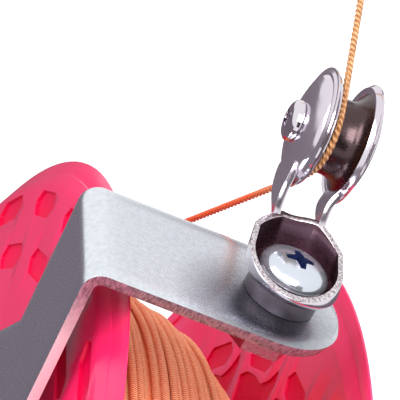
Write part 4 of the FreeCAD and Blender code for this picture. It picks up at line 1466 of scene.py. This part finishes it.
# Carried-over nodes


def dress_nodes() -> None:
    """Gives the nodes that keep their own shape their finishes."""
    bearings = [f"{end}_bearing_{part}" for end in ("rear", "front")
                for part in ("inner_ring", "outer_ring", "balls")]
    kept = {
        STEEL: ("axle_bolt", "axle_nut", "handle_washer", "bracket_spacer", "bearing_sleeve",
                "front_washer", "locating_pins", "swivel_washer", "swivel_nut", "drum_screws",
                *bearings, "knob_spindle"),
        BRONZE: ("pulley_bush",),
        NYLON: ("handle_core", "handle_end_cap", "knob_grip"),
        FOAM: ("grip_sleeve",),
        PINK: ("drum", "front_hub_cap", "knob_end_cap"),
    }
    for finish, names in kept.items():
        for node in (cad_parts[name] for name in names):
            node.data.materials.clear()
            smooth(dress(node, finish), 30)


# Studio


@dataclass
class Studio:
    """The camera, the pale floor, the soft lamps and the white surroundings.

    Attributes:
        roll: The camera's roll in degrees.
        focal: Its focal length.
        sensor: Width of its sensor.
        reach: How far it sees, in metres.
        floor: Height of the floor.
        aim: The point that lamps and cards face.
    """

    roll: float = 29.33
    focal: float = 308.93
    sensor: float = 36.0
    reach: float = 20.0
    floor: float = -112.3
    aim: tuple[float, float, float] = (30, 0, 110)

    def face(self, name: str, place: Vector, aim: Vector, front: str = "-Z",
             roll: float = 0.0) -> Piece:
        """Names the piece just added at a place, and turns its front to a point.

        Args:
            name: The piece's name.
            place: Its place.
            aim: The point that it faces.
            front: The piece's own axis that points there.
            roll: Its roll about that axis in degrees.

        Returns:
            The piece.
        """
        piece = bpy.context.object
        piece.name = name
        piece.rotation_mode = "QUATERNION"
        look = (aim - place).to_track_quat(front, "Y")
        piece.rotation_quaternion = look @ Quaternion((0, 0, 1), math.radians(roll))
        return piece

    def camera(self) -> None:
        """Sets the camera at the photograph's angle."""
        deselect()
        bpy.ops.object.camera_add(location=CAMERA_PLACE * MM)
        camera = self.face("camera", CAMERA_PLACE, CAMERA_AIM, roll=self.roll)
        camera.data.lens = self.focal
        camera.data.sensor_width = self.sensor
        camera.data.clip_end = self.reach
        bpy.context.scene.camera = camera

    def lamp(self, name: str, place: Vector, size: float, power: float) -> None:
        """Adds one soft square lamp with a side and a power in watts."""
        deselect()
        bpy.ops.object.light_add(type="AREA", location=place * MM)
        lamp = self.face(name, place, Vector(self.aim))
        lamp.data.size = size * MM
        lamp.data.energy = power

    def shows(self, tree: Tree, strength: float = 1.0) -> Socket:
        """A strength for rays that see the plain white background, and 0 for all others.

        Those rays are direct, mirrored and refracted ones.
        """
        path = add_node(tree, "ShaderNodeLightPath")
        seen = path.outputs["Is Camera Ray"]
        for ray in ("Is Glossy Ray", "Is Transmission Ray"):
            seen = reckon(tree, "MAXIMUM", seen, path.outputs[ray])
        return reckon(tree, "MULTIPLY", seen, strength)

    def card(self, name: str, place: Vector, aim: Vector, size: float, colour: str) -> None:
        """Stands up a plain card that only mirrors see, to give bright metal its dark shades.

        Args:
            name: The card's name.
            place: Its middle.
            aim: The point that it faces.
            size: Its side.
            colour: sRGB hex colour.
        """
        deselect()
        bpy.ops.mesh.primitive_plane_add(size=size * MM, location=place * MM)
        card = self.face(name, place, aim, "Z")
        material, _ = start_material(name, {
            "Base Color": (0, 0, 0, 1), "Specular IOR Level": 0,
            "Emission Color": linear(colour), "Emission Strength": 1})
        card.data.materials.append(material)
        card.visible_camera = card.visible_diffuse = card.visible_shadow = False
        card.visible_transmission = False

    def ground(self) -> None:
        """Lays the pale floor, which looks white where nothing shades it."""
        deselect()
        bpy.ops.mesh.primitive_plane_add(size=8, location=(0, 0, self.floor * MM))
        floor = bpy.context.object
        floor.name = "studio_floor"
        material, shader = start_material("pale_floor", {
            "Base Color": linear("E8E8E8"), "Roughness": 0.9, "Emission Color": (1, 1, 1, 1)})
        tree = material.node_tree
        tree.links.new(self.shows(tree, 0.35), shader.inputs["Emission Strength"])
        floor.data.materials.append(material)
        floor.visible_glossy = False

    def surroundings(self) -> None:
        """Lights the world softly: white above, greyer towards the ground."""
        world = bpy.data.worlds.new("soft_studio")
        bpy.context.scene.world = world
        world.use_nodes = True
        tree = world.node_tree
        place = add_node(tree, "ShaderNodeTexCoord").outputs["Generated"]
        up = add_node(tree, "ShaderNodeSeparateXYZ", {}, {0: place}).outputs["Z"]
        stops = [(0.2, "C8BEC4"), (0.5, "EEEAEE"), (1.0, "FFFFFF")]
        sky = ramped(tree, ranged(tree, up, (-1.0, 1.0)), stops)
        tree.links.new(mixed(tree, self.shows(tree), sky, "FFFFFF"),
                       tree.nodes["Background"].inputs["Color"])

    def build(self) -> None:
        """Sets up the whole studio."""
        self.camera()
        self.ground()
        self.surroundings()
        self.lamp("key_lamp", Vector((-60, -480, 700)), size=500, power=5)
        self.lamp("fill_lamp", Vector((-450, -150, 520)), size=400, power=2.2)
        low, aim = Vector((-100, 500, -260)), Vector(self.aim)
        self.card("low_card", low, Vector((low.x, low.y, 0)), size=3000, colour="766C76")
        self.card("near_card", Vector((220, -800, 420)), aim, size=620, colour="4A4046")
        self.card("far_card", Vector((330, 700, 330)), aim, size=260, colour="968E98")
        bpy.context.scene.view_settings.view_transform = "Standard"


def wrap_corners(hub: Vector, radius: float, first: float, last: float) -> list[Vector]:
    """Corners of the line's path round the pulley, as in its solid.

    Args:
        hub: The pulley's centre in millimetres.
        radius: Distance of the line's middle from it.
        first: Angle where the line meets the groove, in degrees.
        last: Angle where it leaves.

    Returns:
        Three corners.
    """
    half = math.radians(first - last) / 6
    reach = radius / math.cos(half)
    angles = [math.radians(first) - half * step for step in (1, 3, 5)]
    return [hub + Vector((0, reach * math.cos(a), reach * math.sin(a))) for a in angles]


def main() -> None:
    """Builds the winder piece by piece."""
    logging.basicConfig(level=logging.INFO, format="%(message)s")
    Studio().build()
    dress_nodes()
    guide = PulleyFork()
    corners = wrap_corners(guide.hub + WRAP_SHIFT, WRAP_RADIUS, *WRAP_ANGLES)
    FreeLine(LINE_START, corners, LINE_END).build()
    Bracket().build()
    guide.build()
    Flange("rear", REAR_LIP, -1, (102.9, 93.6), PINK).build()
    # The front flange wears the pink with painted light.
    Flange("front", FRONT_LIP, 1, (102.9,), PINK_PAINTED_LIGHT).build()
    Winding(REAR_LIP, FRONT_LIP).build()


if __name__ == "__main__":
    main()
